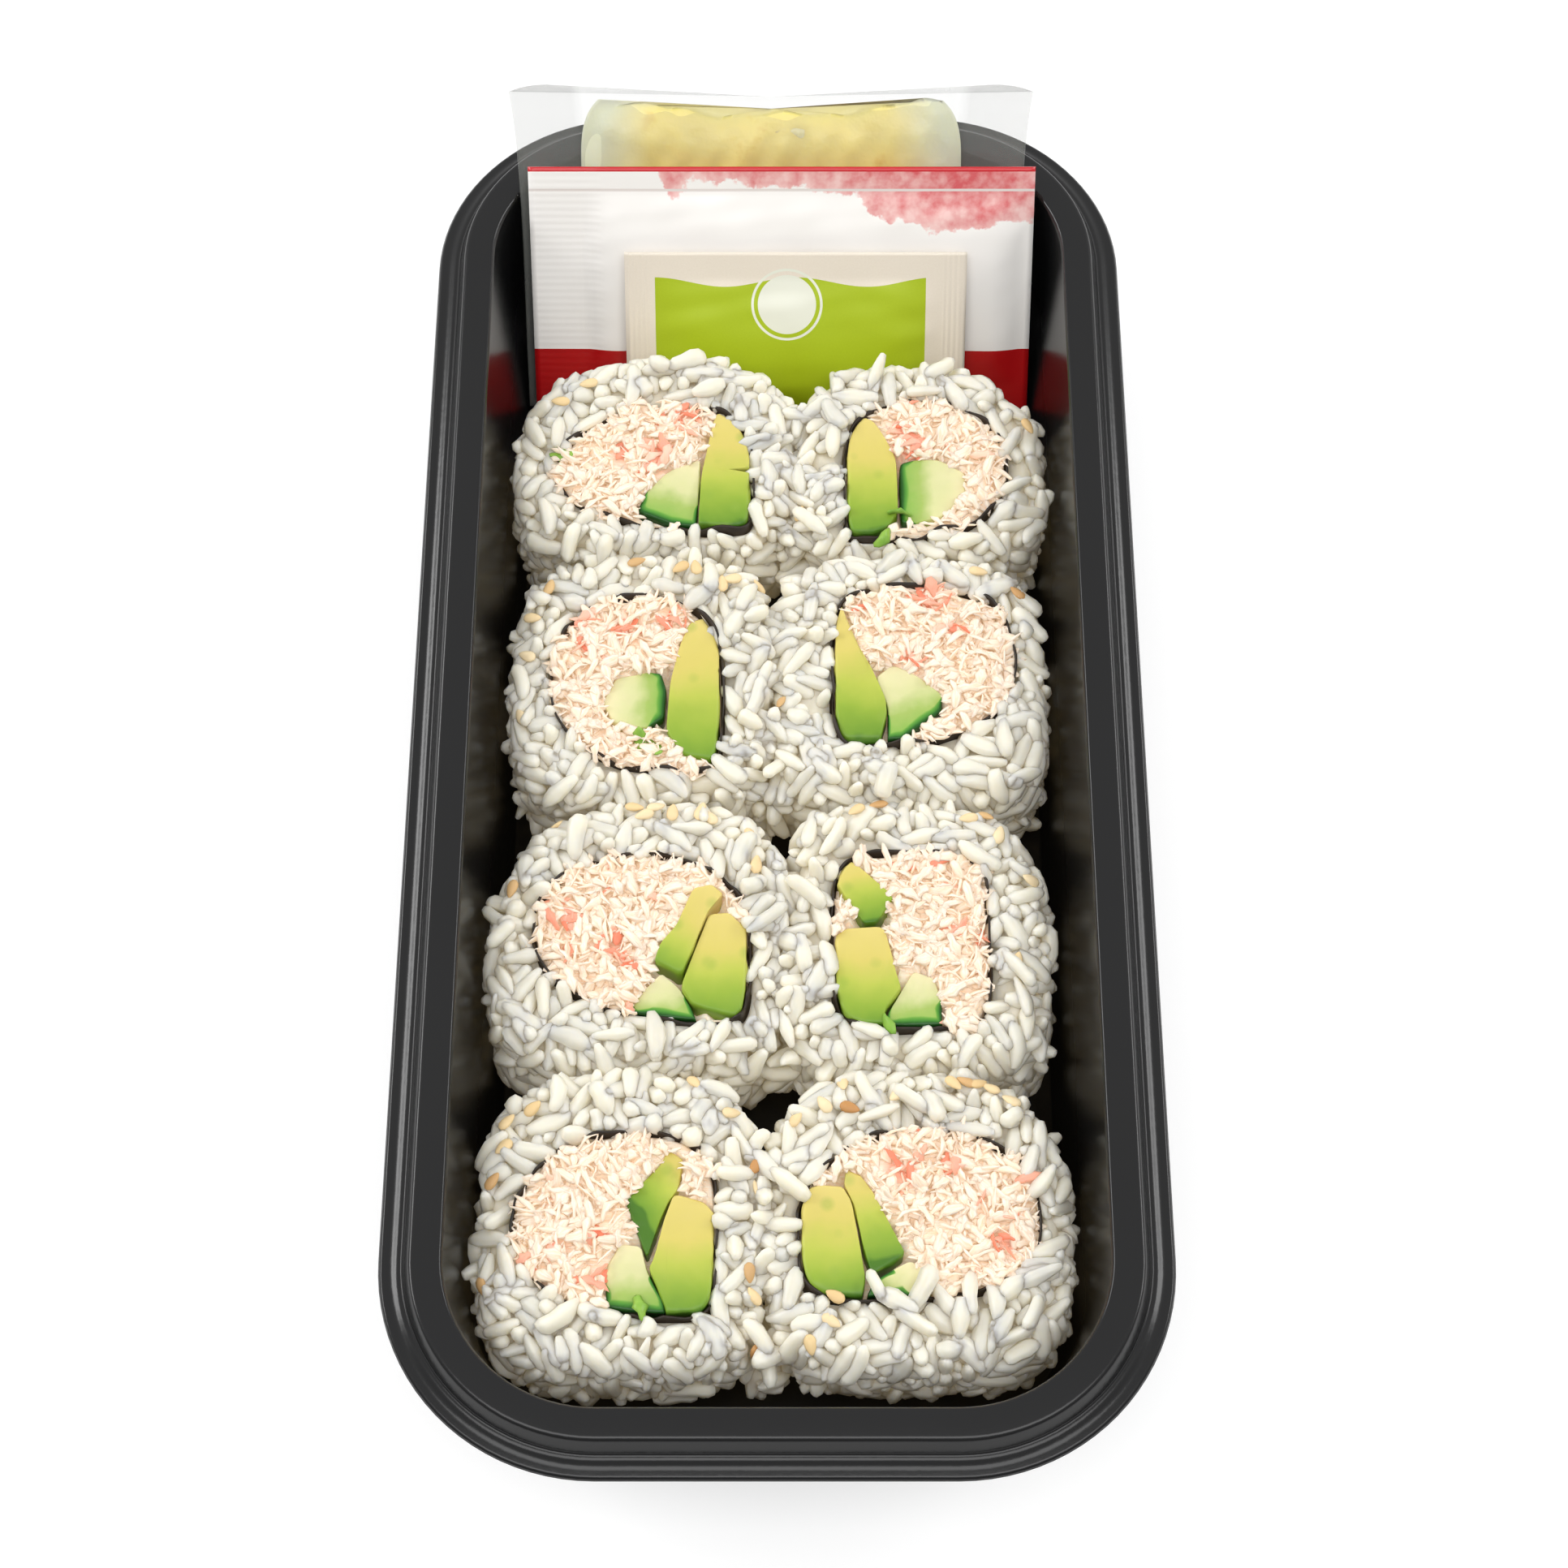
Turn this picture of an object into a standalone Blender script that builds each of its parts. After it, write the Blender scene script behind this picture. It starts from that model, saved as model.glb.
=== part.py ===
"""Takeaway sushi tray: eight inside-out rolls, three sachets and the black tray that holds them.

X runs across the tray, Y from its front to its back and Z up, and the origin is the middle of its underside.
Lengths are in metres. The outlines of the rolls are written in millimetres and pass through MM.
"""
import math
import random

import bmesh
import bpy
import numpy as np
from mathutils import Matrix, Vector

MM = 0.001
GAP = 0.35 * MM

# Tray: a thermoformed shell with a stepped rim
TRAY_WIDTH = 115.0 * MM
TRAY_LENGTH = 239.0 * MM
TRAY_WALL = 0.6 * MM
TRAY_CORNER = 32.0 * MM
CORNER_STEPS = 7
# Each step of the rim and wall: how far in from the outer edge, and how high, in mm
TRAY_PROFILE = (
    (0.0, 32.4), (0.4, 33.0), (3.3, 33.0), (4.8, 36.0), (9.2, 36.0), (9.6, 35.5), (13.3, 5.5), (14.2, 2.0), (16.8, 0.6))

# Rolls: FLOOR is the height of their foot; NORI_FOOT and BAR_FOOT are how far above it those start
FLOOR = 0.95 * MM
RICE_COLUMNS = 38
SKIN_COLUMNS = 19
NORI_THICKNESS = 0.5 * MM
NORI_FOOT = 0.8 * MM
NORI_REACH = 0.99
BAR_FOOT = 0.4 * MM
AVOCADO_RISE = dict(a=0.4 * MM, b=-0.5 * MM)
CUCUMBER_RISE = -0.2 * MM
ROOM_LOW = -5.0 * MM
ROOM_HIGH = 45.0 * MM

# Bumps of the size of grains and shreds; a dent takes at most DENT_LIMIT of the wall's thickness,
# and no point goes back more than BACK_LIMIT of it
RICE_BUMP = 1.6 * MM
DENT_LIMIT = 0.4
BACK_LIMIT = 0.7
CRAB_BUMP = 1.6 * MM
CRAB_MIDDLE = 0.35
# Rings of the crab's top: share of the way out from its middle, and share of the bump there
CRAB_RINGS = ((1.0, 0.4), (0.68, 1.0), (0.34, 1.0))

# Section of the rice wall: share of the way from the hole to the outline, mm back from there,
# share of the height, and the shares of a dent that go sideways and down
RICE_SECTION = (
    (0.0, 0.0, 0.03, 0.0, 0.0), (0.0, 0.0, 0.965, 0.0, 0.0), (0.34, 0.0, 1.0, 0.38, 0.62),
    (0.72, 0.0, 1.0, 0.8, 0.2), (1.0, 0.5, 0.93, 1.0, 0.0), (1.0, 0.0, 0.77, 1.0, 0.0),
    (1.0, 0.0, 0.52, 1.0, 0.0), (1.0, 0.3, 0.27, 1.0, 0.0), (1.0, 1.5, 0.09, 1.0, 0.0),
    (1.0, 4.2, 0.0, 0.0, 0.0))

# Sesame seeds lie on the rings of the shoulder, between two shares of the way round a roll
SEED_SIZE = (3.0 * MM, 1.8 * MM, 1.0 * MM)
SEEDS_PER_ROLL = 4
SEED_RINGS = (3, 4)
SEED_ARC = (0.07, 0.49)
SEED_TILT = 0.5

# One entry for each roll, all in mm. An outline is (left, right, front, back), the X of its
# backmost and frontmost points, the Y of its widest place, and how square its corners are, from
# the back right corner round to the front right. Fillings are corner lists; they may pass the
# nori on their outer side, where they are trimmed to it.
ROLLS = (
    dict(top=27.3, lean=(0.010, -0.012),
         rice=((-43.6, 2.3, 34.9, 74.0), (-20.0, -20.0), 55.0, (2.8, 2.0, 3.6, 5.0)),
         nori=((-37.0, -4.2, 38.6, 63.5), (-17.0, -8.0), 50.0, (2.4, 2.0, 2.0, 5.0)),
         avocado=(((-10.4, 61.4), (-7.6, 62.5), (-3.2, 54.0), (-2.6, 37.8), (-9.3, 37.8), (-13.1, 38.5),
                   (-12.7, 48.8)),),
         cucumber=((-18.3, 50.0), (-12.9, 52.4), (-12.9, 48.8), (-13.4, 38.8), (-16.2, 39.2),
                   (-23.2, 42.0), (-22.0, 45.5))),
    dict(top=27.0, lean=(-0.008, 0.010),
         rice=((2.8, 44.2, 34.7, 71.8), (24.0, 24.0), 54.0, (2.2, 2.8, 5.0, 3.8)),
         nori=((11.0, 38.0, 37.6, 64.0), (23.0, 14.0), 52.0, (2.4, 2.4, 5.0, 2.6)),
         avocado=(((12.8, 61.5), (15.8, 60.0), (17.6, 57.0), (19.6, 52.5), (19.8, 42.0), (18.0, 39.2),
                   (9.5, 35.5), (9.3, 45.0), (10.5, 54.0)),),
         cucumber=((20.1, 51.8), (23.3, 52.6), (27.0, 52.5), (31.2, 50.0), (31.0, 45.5), (27.0, 41.3),
                   (23.0, 40.3), (20.2, 40.3))),
    dict(top=27.4, lean=(0.012, 0.006),
         rice=((-42.6, -1.2, -10.0, 34.4), (-22.0, -22.0), 13.0, (4.0, 2.8, 4.0, 5.0)),
         nori=((-36.5, -8.8, -5.5, 26.3), (-22.0, -15.0), 12.0, (2.3, 2.1, 2.3, 5.0)),
         avocado=(((-14.2, 21.0), (-10.6, 22.3), (-8.0, 17.0), (-7.4, 6.0), (-7.2, -4.6), (-14.9, -3.2),
                   (-17.7, 1.1), (-17.2, 10.0), (-15.5, 17.4)),),
         cucumber=((-20.5, 12.0), (-18.6, 11.8), (-17.7, 8.6), (-18.0, 3.6), (-21.0, 1.8), (-26.1, 2.7),
                   (-28.0, 6.8), (-26.0, 11.0))),
    dict(top=27.2, lean=(-0.006, -0.010),
         rice=((-0.6, 42.9, -10.0, 34.2), (21.0, 21.0), 13.0, (3.1, 4.0, 5.0, 5.0)),
         nori=((8.7, 38.0, -0.8, 28.0), (22.0, 14.0), 13.0, (3.0, 4.0, 5.0, 2.4)),
         avocado=(((10.2, 24.5), (11.4, 20.0), (12.9, 16.8), (15.1, 12.5), (17.2, 6.8), (17.4, 4.3),
                   (16.0, -1.5), (7.0, -2.5), (7.2, 12.0), (8.5, 21.0)),),
         cucumber=((18.3, 13.6), (22.0, 11.8), (26.4, 8.0), (26.1, 4.9), (20.1, 0.3), (17.4, -1.5),
                   (17.6, 5.5), (15.6, 11.2))),
    dict(top=27.5, lean=(0.014, -0.008),
         rice=((-44.3, 0.4, -55.4, -10.6), (-20.0, -20.0), -33.0, (2.9, 2.1, 4.0, 5.0)),
         nori=((-37.5, -4.2, -48.7, -20.2), (-20.0, -10.0), -33.0, (2.0, 2.3, 2.1, 5.0)),
         avocado=(((-10.5, -30.7), (-7.4, -30.5), (-5.0, -33.0), (-2.4, -36.0), (-2.2, -49.0),
                   (-12.9, -46.0), (-14.7, -43.0), (-12.4, -36.0)),
                  ((-13.0, -26.6), (-10.2, -25.9), (-8.3, -27.6), (-10.7, -30.6), (-12.6, -36.0),
                   (-14.6, -41.2), (-18.8, -38.8), (-18.0, -36.0), (-15.5, -32.9))),
         cucumber=((-17.7, -40.4), (-14.9, -42.9), (-13.0, -46.2), (-12.0, -49.0), (-21.1, -48.8),
                   (-22.0, -46.0), (-20.5, -43.5))),
    dict(top=27.1, lean=(-0.010, 0.012),
         rice=((1.0, 41.6, -55.4, -10.6), (21.0, 21.0), -33.0, (2.7, 3.6, 5.0, 5.0)),
         nori=((8.4, 32.6, -49.3, -19.7), (20.0, 20.0), -34.0, (4.0, 4.0, 5.0, 5.0)),
         avocado=(((10.4, -32.9), (16.4, -32.6), (18.3, -41.0), (18.9, -42.9), (16.4, -46.4),
                   (15.5, -51.0), (6.5, -51.0), (6.8, -36.0)),
                  ((8.0, -23.0), (11.4, -21.2), (17.0, -26.6), (17.9, -27.9), (15.3, -31.9),
                   (13.3, -32.2), (10.2, -27.5))),
         cucumber=((20.8, -39.8), (23.9, -41.0), (25.0, -44.8), (25.0, -51.0), (16.0, -51.0),
                   (16.6, -47.0), (18.6, -43.5))),
    dict(top=27.6, lean=(0.008, 0.010),
         rice=((-44.0, -2.3, -102.2, -56.0), (-23.0, -23.0), -79.0, (3.0, 3.0, 3.8, 5.0)),
         nori=((-39.0, -8.8, -94.4, -66.0), (-22.0, -15.0), -80.0, (3.0, 2.0, 2.3, 5.0)),
         avocado=(((-15.2, -75.9), (-10.5, -77.3), (-8.4, -80.0), (-6.8, -84.0), (-6.8, -96.0),
                   (-15.6, -96.0), (-16.3, -92.8), (-18.7, -87.5), (-18.0, -86.0), (-16.6, -80.0)),
                  ((-16.1, -68.8), (-13.8, -70.4), (-14.6, -75.0), (-15.9, -76.9), (-17.2, -80.0),
                   (-19.0, -85.7), (-20.7, -81.3), (-22.4, -76.9), (-19.9, -74.0), (-17.4, -71.3))),
         cucumber=((-23.0, -83.4), (-19.9, -83.8), (-18.9, -87.7), (-16.2, -92.6), (-16.2, -96.0),
                   (-24.8, -96.0), (-25.0, -87.5))),
    dict(top=27.2, lean=(-0.012, -0.006),
         rice=((-1.6, 43.4, -102.2, -56.0), (21.0, 21.0), -79.0, (2.5, 3.0, 4.5, 3.5)),
         nori=((3.1, 38.8, -91.8, -65.5), (20.0, 15.0), -79.0, (2.4, 1.8, 5.0, 2.6)),
         avocado=(((6.4, -74.4), (9.6, -74.6), (10.9, -76.9), (12.1, -83.8), (12.9, -89.0),
                   (12.0, -93.0), (1.0, -93.0), (1.4, -82.0), (4.4, -75.0)),
                  ((10.1, -71.9), (12.3, -72.8), (13.9, -75.0), (16.4, -80.0), (18.9, -85.0),
                   (13.8, -88.2), (12.5, -83.8), (11.3, -77.5), (9.8, -74.2))),
         cucumber=((19.6, -85.8), (14.0, -89.0), (13.0, -91.2), (13.0, -93.5), (22.5, -93.5), (22.5, -88.5))),
)

# Sachets: width, the X of their middle, and their side view as (Y, Z) points in mm from the foot up.
# FULL is where each is full, across and up the sheet: from, to, and the length of the slope there.
SOY_WIDTH = 86.0 * MM
SOY_X = 0.6 * MM
SOY_SIDE = ((76.6, 5.6), (102.0, 41.0))
SOY_FILL = 3.0 * MM
SOY_FULL = ((-0.68, 0.88, 0.3), (0.1, 0.86, 0.25))
WASABI_WIDTH = 58.5 * MM
WASABI_X = 3.0 * MM
WASABI_SIDE = ((75.2, 2.2), (76.2, 7.5), (78.3, 13.5), (82.5, 20.0), (87.0, 26.0), (91.3, 31.5))
WASABI_FILL = 3.0 * MM
WASABI_FULL = ((-0.84, 0.84, 0.4), (0.14, 0.86, 0.35))
GINGER_WIDTH = 85.0 * MM
GINGER_X = -1.2 * MM
GINGER_EDGE = ((77.6, 5.2), (99.6, 36.0), (110.7, 50.0))
GINGER_BELLY = 5.4 * MM
GINGER_SAG = 5.6 * MM
GINGER_FLARE = 1.5 * MM
GINGER_FILL = 6.0 * MM
GINGER_FULL = ((-0.76, 0.76, 0.25), (0.06, 0.94, 0.22))
SEAL = 0.5 * MM

random.seed(8)


def clear_scene():
    """Remove every object that the file opened with."""
    for obj in list(bpy.data.objects):
        bpy.data.objects.remove(obj, do_unlink=True)


def new_collection(name):
    """Make a collection below the scene."""
    collection = bpy.data.collections.new(name)
    bpy.context.scene.collection.children.link(collection)
    return collection


def new_material(name, colour, roughness):
    """Make a Principled material of one colour."""
    material = bpy.data.materials.new(name)
    material.use_nodes = True
    shader = material.node_tree.nodes["Principled BSDF"]
    shader.inputs["Base Color"].default_value = (*colour, 1.0)
    shader.inputs["Roughness"].default_value = roughness
    shader.inputs["Metallic"].default_value = 0.0
    return material


def add_object(name, mesh, material, collection):
    """Put a mesh into the scene under its node's name."""
    obj = bpy.data.objects.new(name, mesh)
    collection.objects.link(obj)
    if material:
        mesh.materials.clear()
        mesh.materials.append(material)
    return obj


def mesh_of(bm, name, split=False):
    """Turn a bmesh into a mesh whose faces point out; split makes uneven faces triangles."""
    if split:
        bmesh.ops.triangulate(bm, faces=bm.faces)
    bmesh.ops.recalc_face_normals(bm, faces=bm.faces)
    mesh = bpy.data.meshes.new(name)
    bm.to_mesh(mesh)
    bm.free()
    return mesh


def loft(rings, wrap=False, cap_first=False, cap_last=False):
    """Join rings of points, all of one length, by bands of quads; wrap joins the last to the first."""
    bm = bmesh.new()
    rows = [[bm.verts.new(point) for point in ring] for ring in rings]
    pairs = list(zip(rows, rows[1:]))
    if wrap:
        pairs.append((rows[-1], rows[0]))
    for low, high in pairs:
        for i in range(len(low)):
            j = (i + 1) % len(low)
            bm.faces.new((low[i], low[j], high[j], high[i]))
    if cap_first:
        bm.faces.new(rows[0][::-1])
    if cap_last:
        bm.faces.new(rows[-1])
    return bm


def rounded_rectangle(inset, height):
    """Ring of points on the tray's outline, moved in by inset: four quarter arcs."""
    radius = TRAY_CORNER - inset
    half = (TRAY_WIDTH / 2 - TRAY_CORNER, TRAY_LENGTH / 2 - TRAY_CORNER)
    ring = []
    for quarter, (sx, sy) in enumerate(((1, 1), (-1, 1), (-1, -1), (1, -1))):
        for step in range(CORNER_STEPS + 1):
            angle = math.pi / 2 * (quarter + step / CORNER_STEPS)
            ring.append((sx * half[0] + radius * math.cos(angle), sy * half[1] + radius * math.sin(angle), height))
    return ring


def outline(spec, count, grow=0.0):
    """Closed outline of four quarter superellipses, moved out by grow; an array of (x, y) in metres."""
    (left, right, front, back), (back_x, front_x), waist, powers = spec
    points = []
    for i in range(count):
        angle = 2 * math.pi * i / count
        c = math.cos(angle)
        s = math.sin(angle)
        quarter = (0 if c >= 0 else 1) if s >= 0 else (2 if c < 0 else 3)
        middle_x = back_x if s >= 0 else front_x
        reach_x = (right - middle_x if c >= 0 else middle_x - left) * MM + grow
        reach_y = (back - waist if s >= 0 else waist - front) * MM + grow
        power = 2.0 / powers[quarter]
        x = middle_x * MM + math.copysign(abs(c) ** power, c) * reach_x
        y = waist * MM + math.copysign(abs(s) ** power, s) * reach_y
        points.append((x, y))
    return np.array(points)


def grown(corners, amount):
    """Move a polygon's corners out along the mean of their two sides' normals; sharp ones go less far."""
    points = [Vector(corner) for corner in corners]
    area = sum(a.x * b.y - b.x * a.y for a, b in zip(points, points[1:] + points[:1]))
    turn = 1.0 if area > 0 else -1.0
    moved = []
    for before, here, after in zip(points[-1:] + points[:-1], points, points[1:] + points[:1]):
        first = (here - before).normalized()
        second = (after - here).normalized()
        normal = Vector((first.y + second.y, -first.x - second.x)) * turn
        distance = amount / max(0.5, normal.length / 2)
        moved.append(tuple(here + normal.normalized() * distance))
    return moved


def prism(points, low, high):
    """Closed upright prism on a polygon."""
    rings = [[(x, y, z) for x, y in points] for z in (low, high)]
    return mesh_of(loft(rings, cap_first=True, cap_last=True), "prism")


def guide(mesh, collection):
    """Put a cutter in the scene; it is not a piece of the tray."""
    obj = add_object("cutter", mesh, None, collection)
    obj.hide_render = True
    obj.display_type = "WIRE"
    return obj


def add_boolean(obj, cutter, operation):
    """Cut or trim obj by another object."""
    modifier = obj.modifiers.new("cut", "BOOLEAN")
    modifier.operation = operation
    modifier.solver = "EXACT"
    modifier.object = cutter


def apply_modifiers(obj):
    """Replace an object's mesh by its evaluated one."""
    depsgraph = bpy.context.evaluated_depsgraph_get()
    mesh = bpy.data.meshes.new_from_object(obj.evaluated_get(depsgraph))
    obj.modifiers.clear()
    obj.data = mesh


def drop_scraps(obj):
    """Keep only the piece of a mesh that has the most corners."""
    bm = bmesh.new()
    bm.from_mesh(obj.data)
    bmesh.ops.remove_doubles(bm, verts=bm.verts, dist=0.02 * MM)
    bmesh.ops.dissolve_degenerate(bm, edges=bm.edges, dist=0.02 * MM)
    left = set(bm.verts)
    islands = []
    while left:
        island = set()
        waiting = [left.pop()]
        while waiting:
            vert = waiting.pop()
            island.add(vert)
            for edge in vert.link_edges:
                other = edge.other_vert(vert)
                if other in left:
                    left.remove(other)
                    waiting.append(other)
        islands.append(island)
    islands.sort(key=len)
    scraps = [vert for island in islands[:-1] for vert in island]
    bmesh.ops.delete(bm, geom=scraps, context="VERTS")
    bm.to_mesh(obj.data)
    bm.free()


def settle(obj, roll):
    """Tilt a roll's cut face: heights above the tray's floor are stretched by the roll's lean."""
    (left, right, front, back), _, _, _ = roll["rice"]
    lean_x, lean_y = roll["lean"]
    height = roll["top"] * MM - FLOOR
    for vert in obj.data.vertices:
        away_x = vert.co.x - (left + right) / 2 * MM
        away_y = vert.co.y - (front + back) / 2 * MM
        vert.co.z = FLOOR + (vert.co.z - FLOOR) * (1 + (lean_x * away_x + lean_y * away_y) / height)


def build_tray(material, collection):
    """Shell from its upper surface, thickened downwards."""
    rings = [rounded_rectangle(inset * MM, height * MM) for inset, height in TRAY_PROFILE]
    bm = loft(rings, cap_last=True)
    mesh = mesh_of(bm, "tray")
    if mesh.polygons[-1].normal.z < 0:
        mesh.flip_normals()
    tray = add_object("tray", mesh, material, collection)
    shell = tray.modifiers.new("wall", "SOLIDIFY")
    shell.thickness = TRAY_WALL
    shell.offset = -1.0
    shell.use_even_offset = True


def build_rice(number, roll, material, collection):
    """Wall of pressed rice with grain-sized bumps and a few sesame seeds fused to its shoulder."""
    height = roll["top"] * MM - FLOOR
    hole = outline(roll["nori"], RICE_COLUMNS, NORI_THICKNESS / 2 + GAP)
    outer = outline(roll["rice"], RICE_COLUMNS)
    middle = outer.mean(axis=0)
    rings = []
    for share, inset, rise, sideways, down in RICE_SECTION:
        ring = []
        for start, end in zip(hole, outer):
            wall = np.linalg.norm(end - start)
            dent = random.random() * min(RICE_BUMP, DENT_LIMIT * wall)
            back = min(dent * sideways + inset * MM, BACK_LIMIT * wall) / wall
            point = start + (end - start) * (share - back)
            ring.append((*point, FLOOR + height * rise - dent * down))
        rings.append(ring)
    rice = add_object(f"rice_{number}", mesh_of(loft(rings, wrap=True), "rice", split=True), material, collection)
    fuse_seeds(rice, rings, middle)
    settle(rice, roll)


def fuse_seeds(rice, rings, middle):
    """Union of the rice with seeds that lie on its back shoulder, one every few columns."""
    seeds = new_collection("seeds")
    columns = len(rings[0])
    for i in range(SEEDS_PER_ROLL):
        start, end = SEED_ARC
        share = start + (end - start) * (i + random.random() * 0.8) / SEEDS_PER_ROLL
        spot = Vector(rings[random.choice(SEED_RINGS)][round(columns * share)])
        outwards = Vector((spot.x - middle[0], spot.y - middle[1], 0.0)).normalized()
        normal = (outwards * SEED_TILT + Vector((0.0, 0.0, 1.0))).normalized()
        bm = bmesh.new()
        bmesh.ops.create_icosphere(bm, subdivisions=1, radius=0.5)
        turn = normal.to_track_quat("Z", "Y").to_matrix().to_4x4()
        spin = Matrix.Rotation(random.uniform(0.0, math.pi), 4, "Z")
        bmesh.ops.transform(bm, matrix=Matrix.Translation(spot) @ turn @ spin @ Matrix.Diagonal((*SEED_SIZE, 1.0)),
                            verts=bm.verts)
        add_object("seed", mesh_of(bm, "seed"), None, seeds)
    modifier = rice.modifiers.new("seeds", "BOOLEAN")
    modifier.operation = "UNION"
    modifier.solver = "EXACT"
    modifier.operand_type = "COLLECTION"
    modifier.collection = seeds
    apply_modifiers(rice)
    drop_scraps(rice)
    for seed in list(seeds.objects):
        bpy.data.objects.remove(seed, do_unlink=True)
    bpy.data.collections.remove(seeds)


def build_nori(number, roll, material, collection):
    """Sheet of seaweed round the filling: an open band, thickened."""
    height = roll["top"] * MM - FLOOR
    wall = outline(roll["nori"], SKIN_COLUMNS)
    rings = [[(x, y, z) for x, y in wall] for z in (FLOOR + NORI_FOOT, FLOOR + height * NORI_REACH)]
    nori = add_object(f"nori_{number}", mesh_of(loft(rings), "nori"), material, collection)
    sheet = nori.modifiers.new("sheet", "SOLIDIFY")
    sheet.thickness = NORI_THICKNESS
    sheet.offset = 0.0
    sheet.use_even_offset = True
    apply_modifiers(nori)
    settle(nori, roll)


def build_bar(name, roll, corners, material, collection, room, cutters, taken, rise):
    """A filling that runs through the roll: a prism trimmed to the room inside the nori."""
    top = roll["top"] * MM + rise
    points = [(x * MM, y * MM) for x, y in corners]
    bar = add_object(name, prism(points, FLOOR + BAR_FOOT, top), material, collection)
    add_boolean(bar, room, "INTERSECT")
    for other in taken:
        add_boolean(bar, other, "DIFFERENCE")
    apply_modifiers(bar)
    drop_scraps(bar)
    settle(bar, roll)
    taken.append(guide(prism(grown(points, GAP), ROOM_LOW, ROOM_HIGH), cutters))


def build_crab(number, roll, material, collection, taken):
    """Shredded crab that fills the rest, with a bumpy top."""
    height = roll["top"] * MM - FLOOR
    rim = outline(roll["nori"], SKIN_COLUMNS, -NORI_THICKNESS / 2 - GAP)
    middle = rim.mean(axis=0)
    rings = [[(x, y, FLOOR + BAR_FOOT) for x, y in rim]]
    for share, strength in CRAB_RINGS:
        ring = []
        for point in rim:
            spot = middle + (point - middle) * share
            bump = (random.random() - CRAB_MIDDLE) * CRAB_BUMP * strength
            ring.append((*spot, FLOOR + height + bump))
        rings.append(ring)
    shreds = mesh_of(loft(rings, cap_first=True, cap_last=True), "crab", split=True)
    crab = add_object(f"crab_{number}", shreds, material, collection)
    for other in taken:
        add_boolean(crab, other, "DIFFERENCE")
    apply_modifiers(crab)
    drop_scraps(crab)
    settle(crab, roll)


def build_roll(number, roll, materials, collection, cutters):
    """One roll: rice, nori and the fillings inside it."""
    build_rice(number, roll, materials["rice"], collection)
    build_nori(number, roll, materials["nori"], collection)
    inside = outline(roll["nori"], SKIN_COLUMNS, -NORI_THICKNESS / 2 - GAP)
    room = guide(prism(inside, ROOM_LOW, ROOM_HIGH), cutters)
    taken = []
    for letter, corners in zip("ab", roll["avocado"]):
        name = f"avocado_{number}" if len(roll["avocado"]) == 1 else f"avocado_{number}{letter}"
        build_bar(name, roll, corners, materials["avocado"], collection, room, cutters, taken,
                  AVOCADO_RISE[letter])
    build_bar(f"cucumber_{number}", roll, roll["cucumber"], materials["cucumber"], collection, room,
              cutters, taken, CUCUMBER_RISE)
    build_crab(number, roll, materials["crab"], collection, taken)


def along(side, share):
    """Point at a share of the length of a (Y, Z) side view, in metres."""
    points = np.array(side) * MM
    steps = np.linalg.norm(np.diff(points, axis=0), axis=1)
    length = np.concatenate(([0.0], np.cumsum(steps))) / steps.sum()
    return np.interp(share, length, points[:, 0]), np.interp(share, length, points[:, 1])


def fullness(x, low, high, soft):
    """1 between low and high, falling to 0 over a distance soft on both sides."""
    inside = min(x - low, high - x) / soft
    return math.sin(math.pi / 2 * max(0.0, min(1.0, inside)))


def leaning(middle, width, side):
    """Rule that lays a sheet's (u, v) on a side view, u across it and v from the foot up."""
    def place(u, v):
        y, z = along(side, v)
        return (middle + u * width / 2, y, z)

    return place


def ginger_place(u, v):
    """The same for the ginger bag, whose middle bulges back and whose top edge sags and flares."""
    length = (GINGER_EDGE[-1][1] - GINGER_EDGE[0][1]) * MM
    lowered = v * (1 - GINGER_SAG / length * (1 - u * u))
    y, z = along(GINGER_EDGE, lowered)
    x = GINGER_X + u * (GINGER_WIDTH / 2 + GINGER_FLARE * v ** 6)
    return (x, y + GINGER_BELLY * (1 - u ** 8), z)


def build_sachet(name, cells, place, full, fill, material, collection):
    """Sheet bent to its side view, then thickened: full inside, thin at the seals."""
    bm = bmesh.new()
    bmesh.ops.create_grid(bm, x_segments=cells[0], y_segments=cells[1], size=1.0)
    uv = [(vert.co.x, (vert.co.y + 1) / 2) for vert in bm.verts]
    for vert, (u, v) in zip(bm.verts, uv):
        vert.co = place(u, v)
    sachet = add_object(name, mesh_of(bm, name), material, collection)
    group = sachet.vertex_groups.new(name="fill")
    for index, (u, v) in enumerate(uv):
        group.add([index], fullness(u, *full[0]) * fullness(v, *full[1]), "REPLACE")
    pillow = sachet.modifiers.new("pillow", "SOLIDIFY")
    pillow.thickness = fill
    pillow.offset = 0.0
    pillow.vertex_group = "fill"
    pillow.thickness_vertex_group = SEAL / fill
    pillow.use_even_offset = False


def build_sachets(materials, collection):
    """Soy, wasabi and ginger, which lean on the back wall one in front of the other."""
    build_sachet("soy_sachet", (10, 7), leaning(SOY_X, SOY_WIDTH, SOY_SIDE), SOY_FULL, SOY_FILL,
                 materials["soy"], collection)
    build_sachet("wasabi_sachet", (8, 7), leaning(WASABI_X, WASABI_WIDTH, WASABI_SIDE), WASABI_FULL, WASABI_FILL,
                 materials["wasabi"], collection)
    build_sachet("ginger_bag", (14, 8), ginger_place, GINGER_FULL, GINGER_FILL, materials["ginger"], collection)


def shade(collection):
    """Smooth shading with sharp edges kept."""
    for obj in collection.objects:
        obj.data.shade_smooth()
        obj.data.set_sharp_from_angle(angle=math.radians(35))


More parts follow.
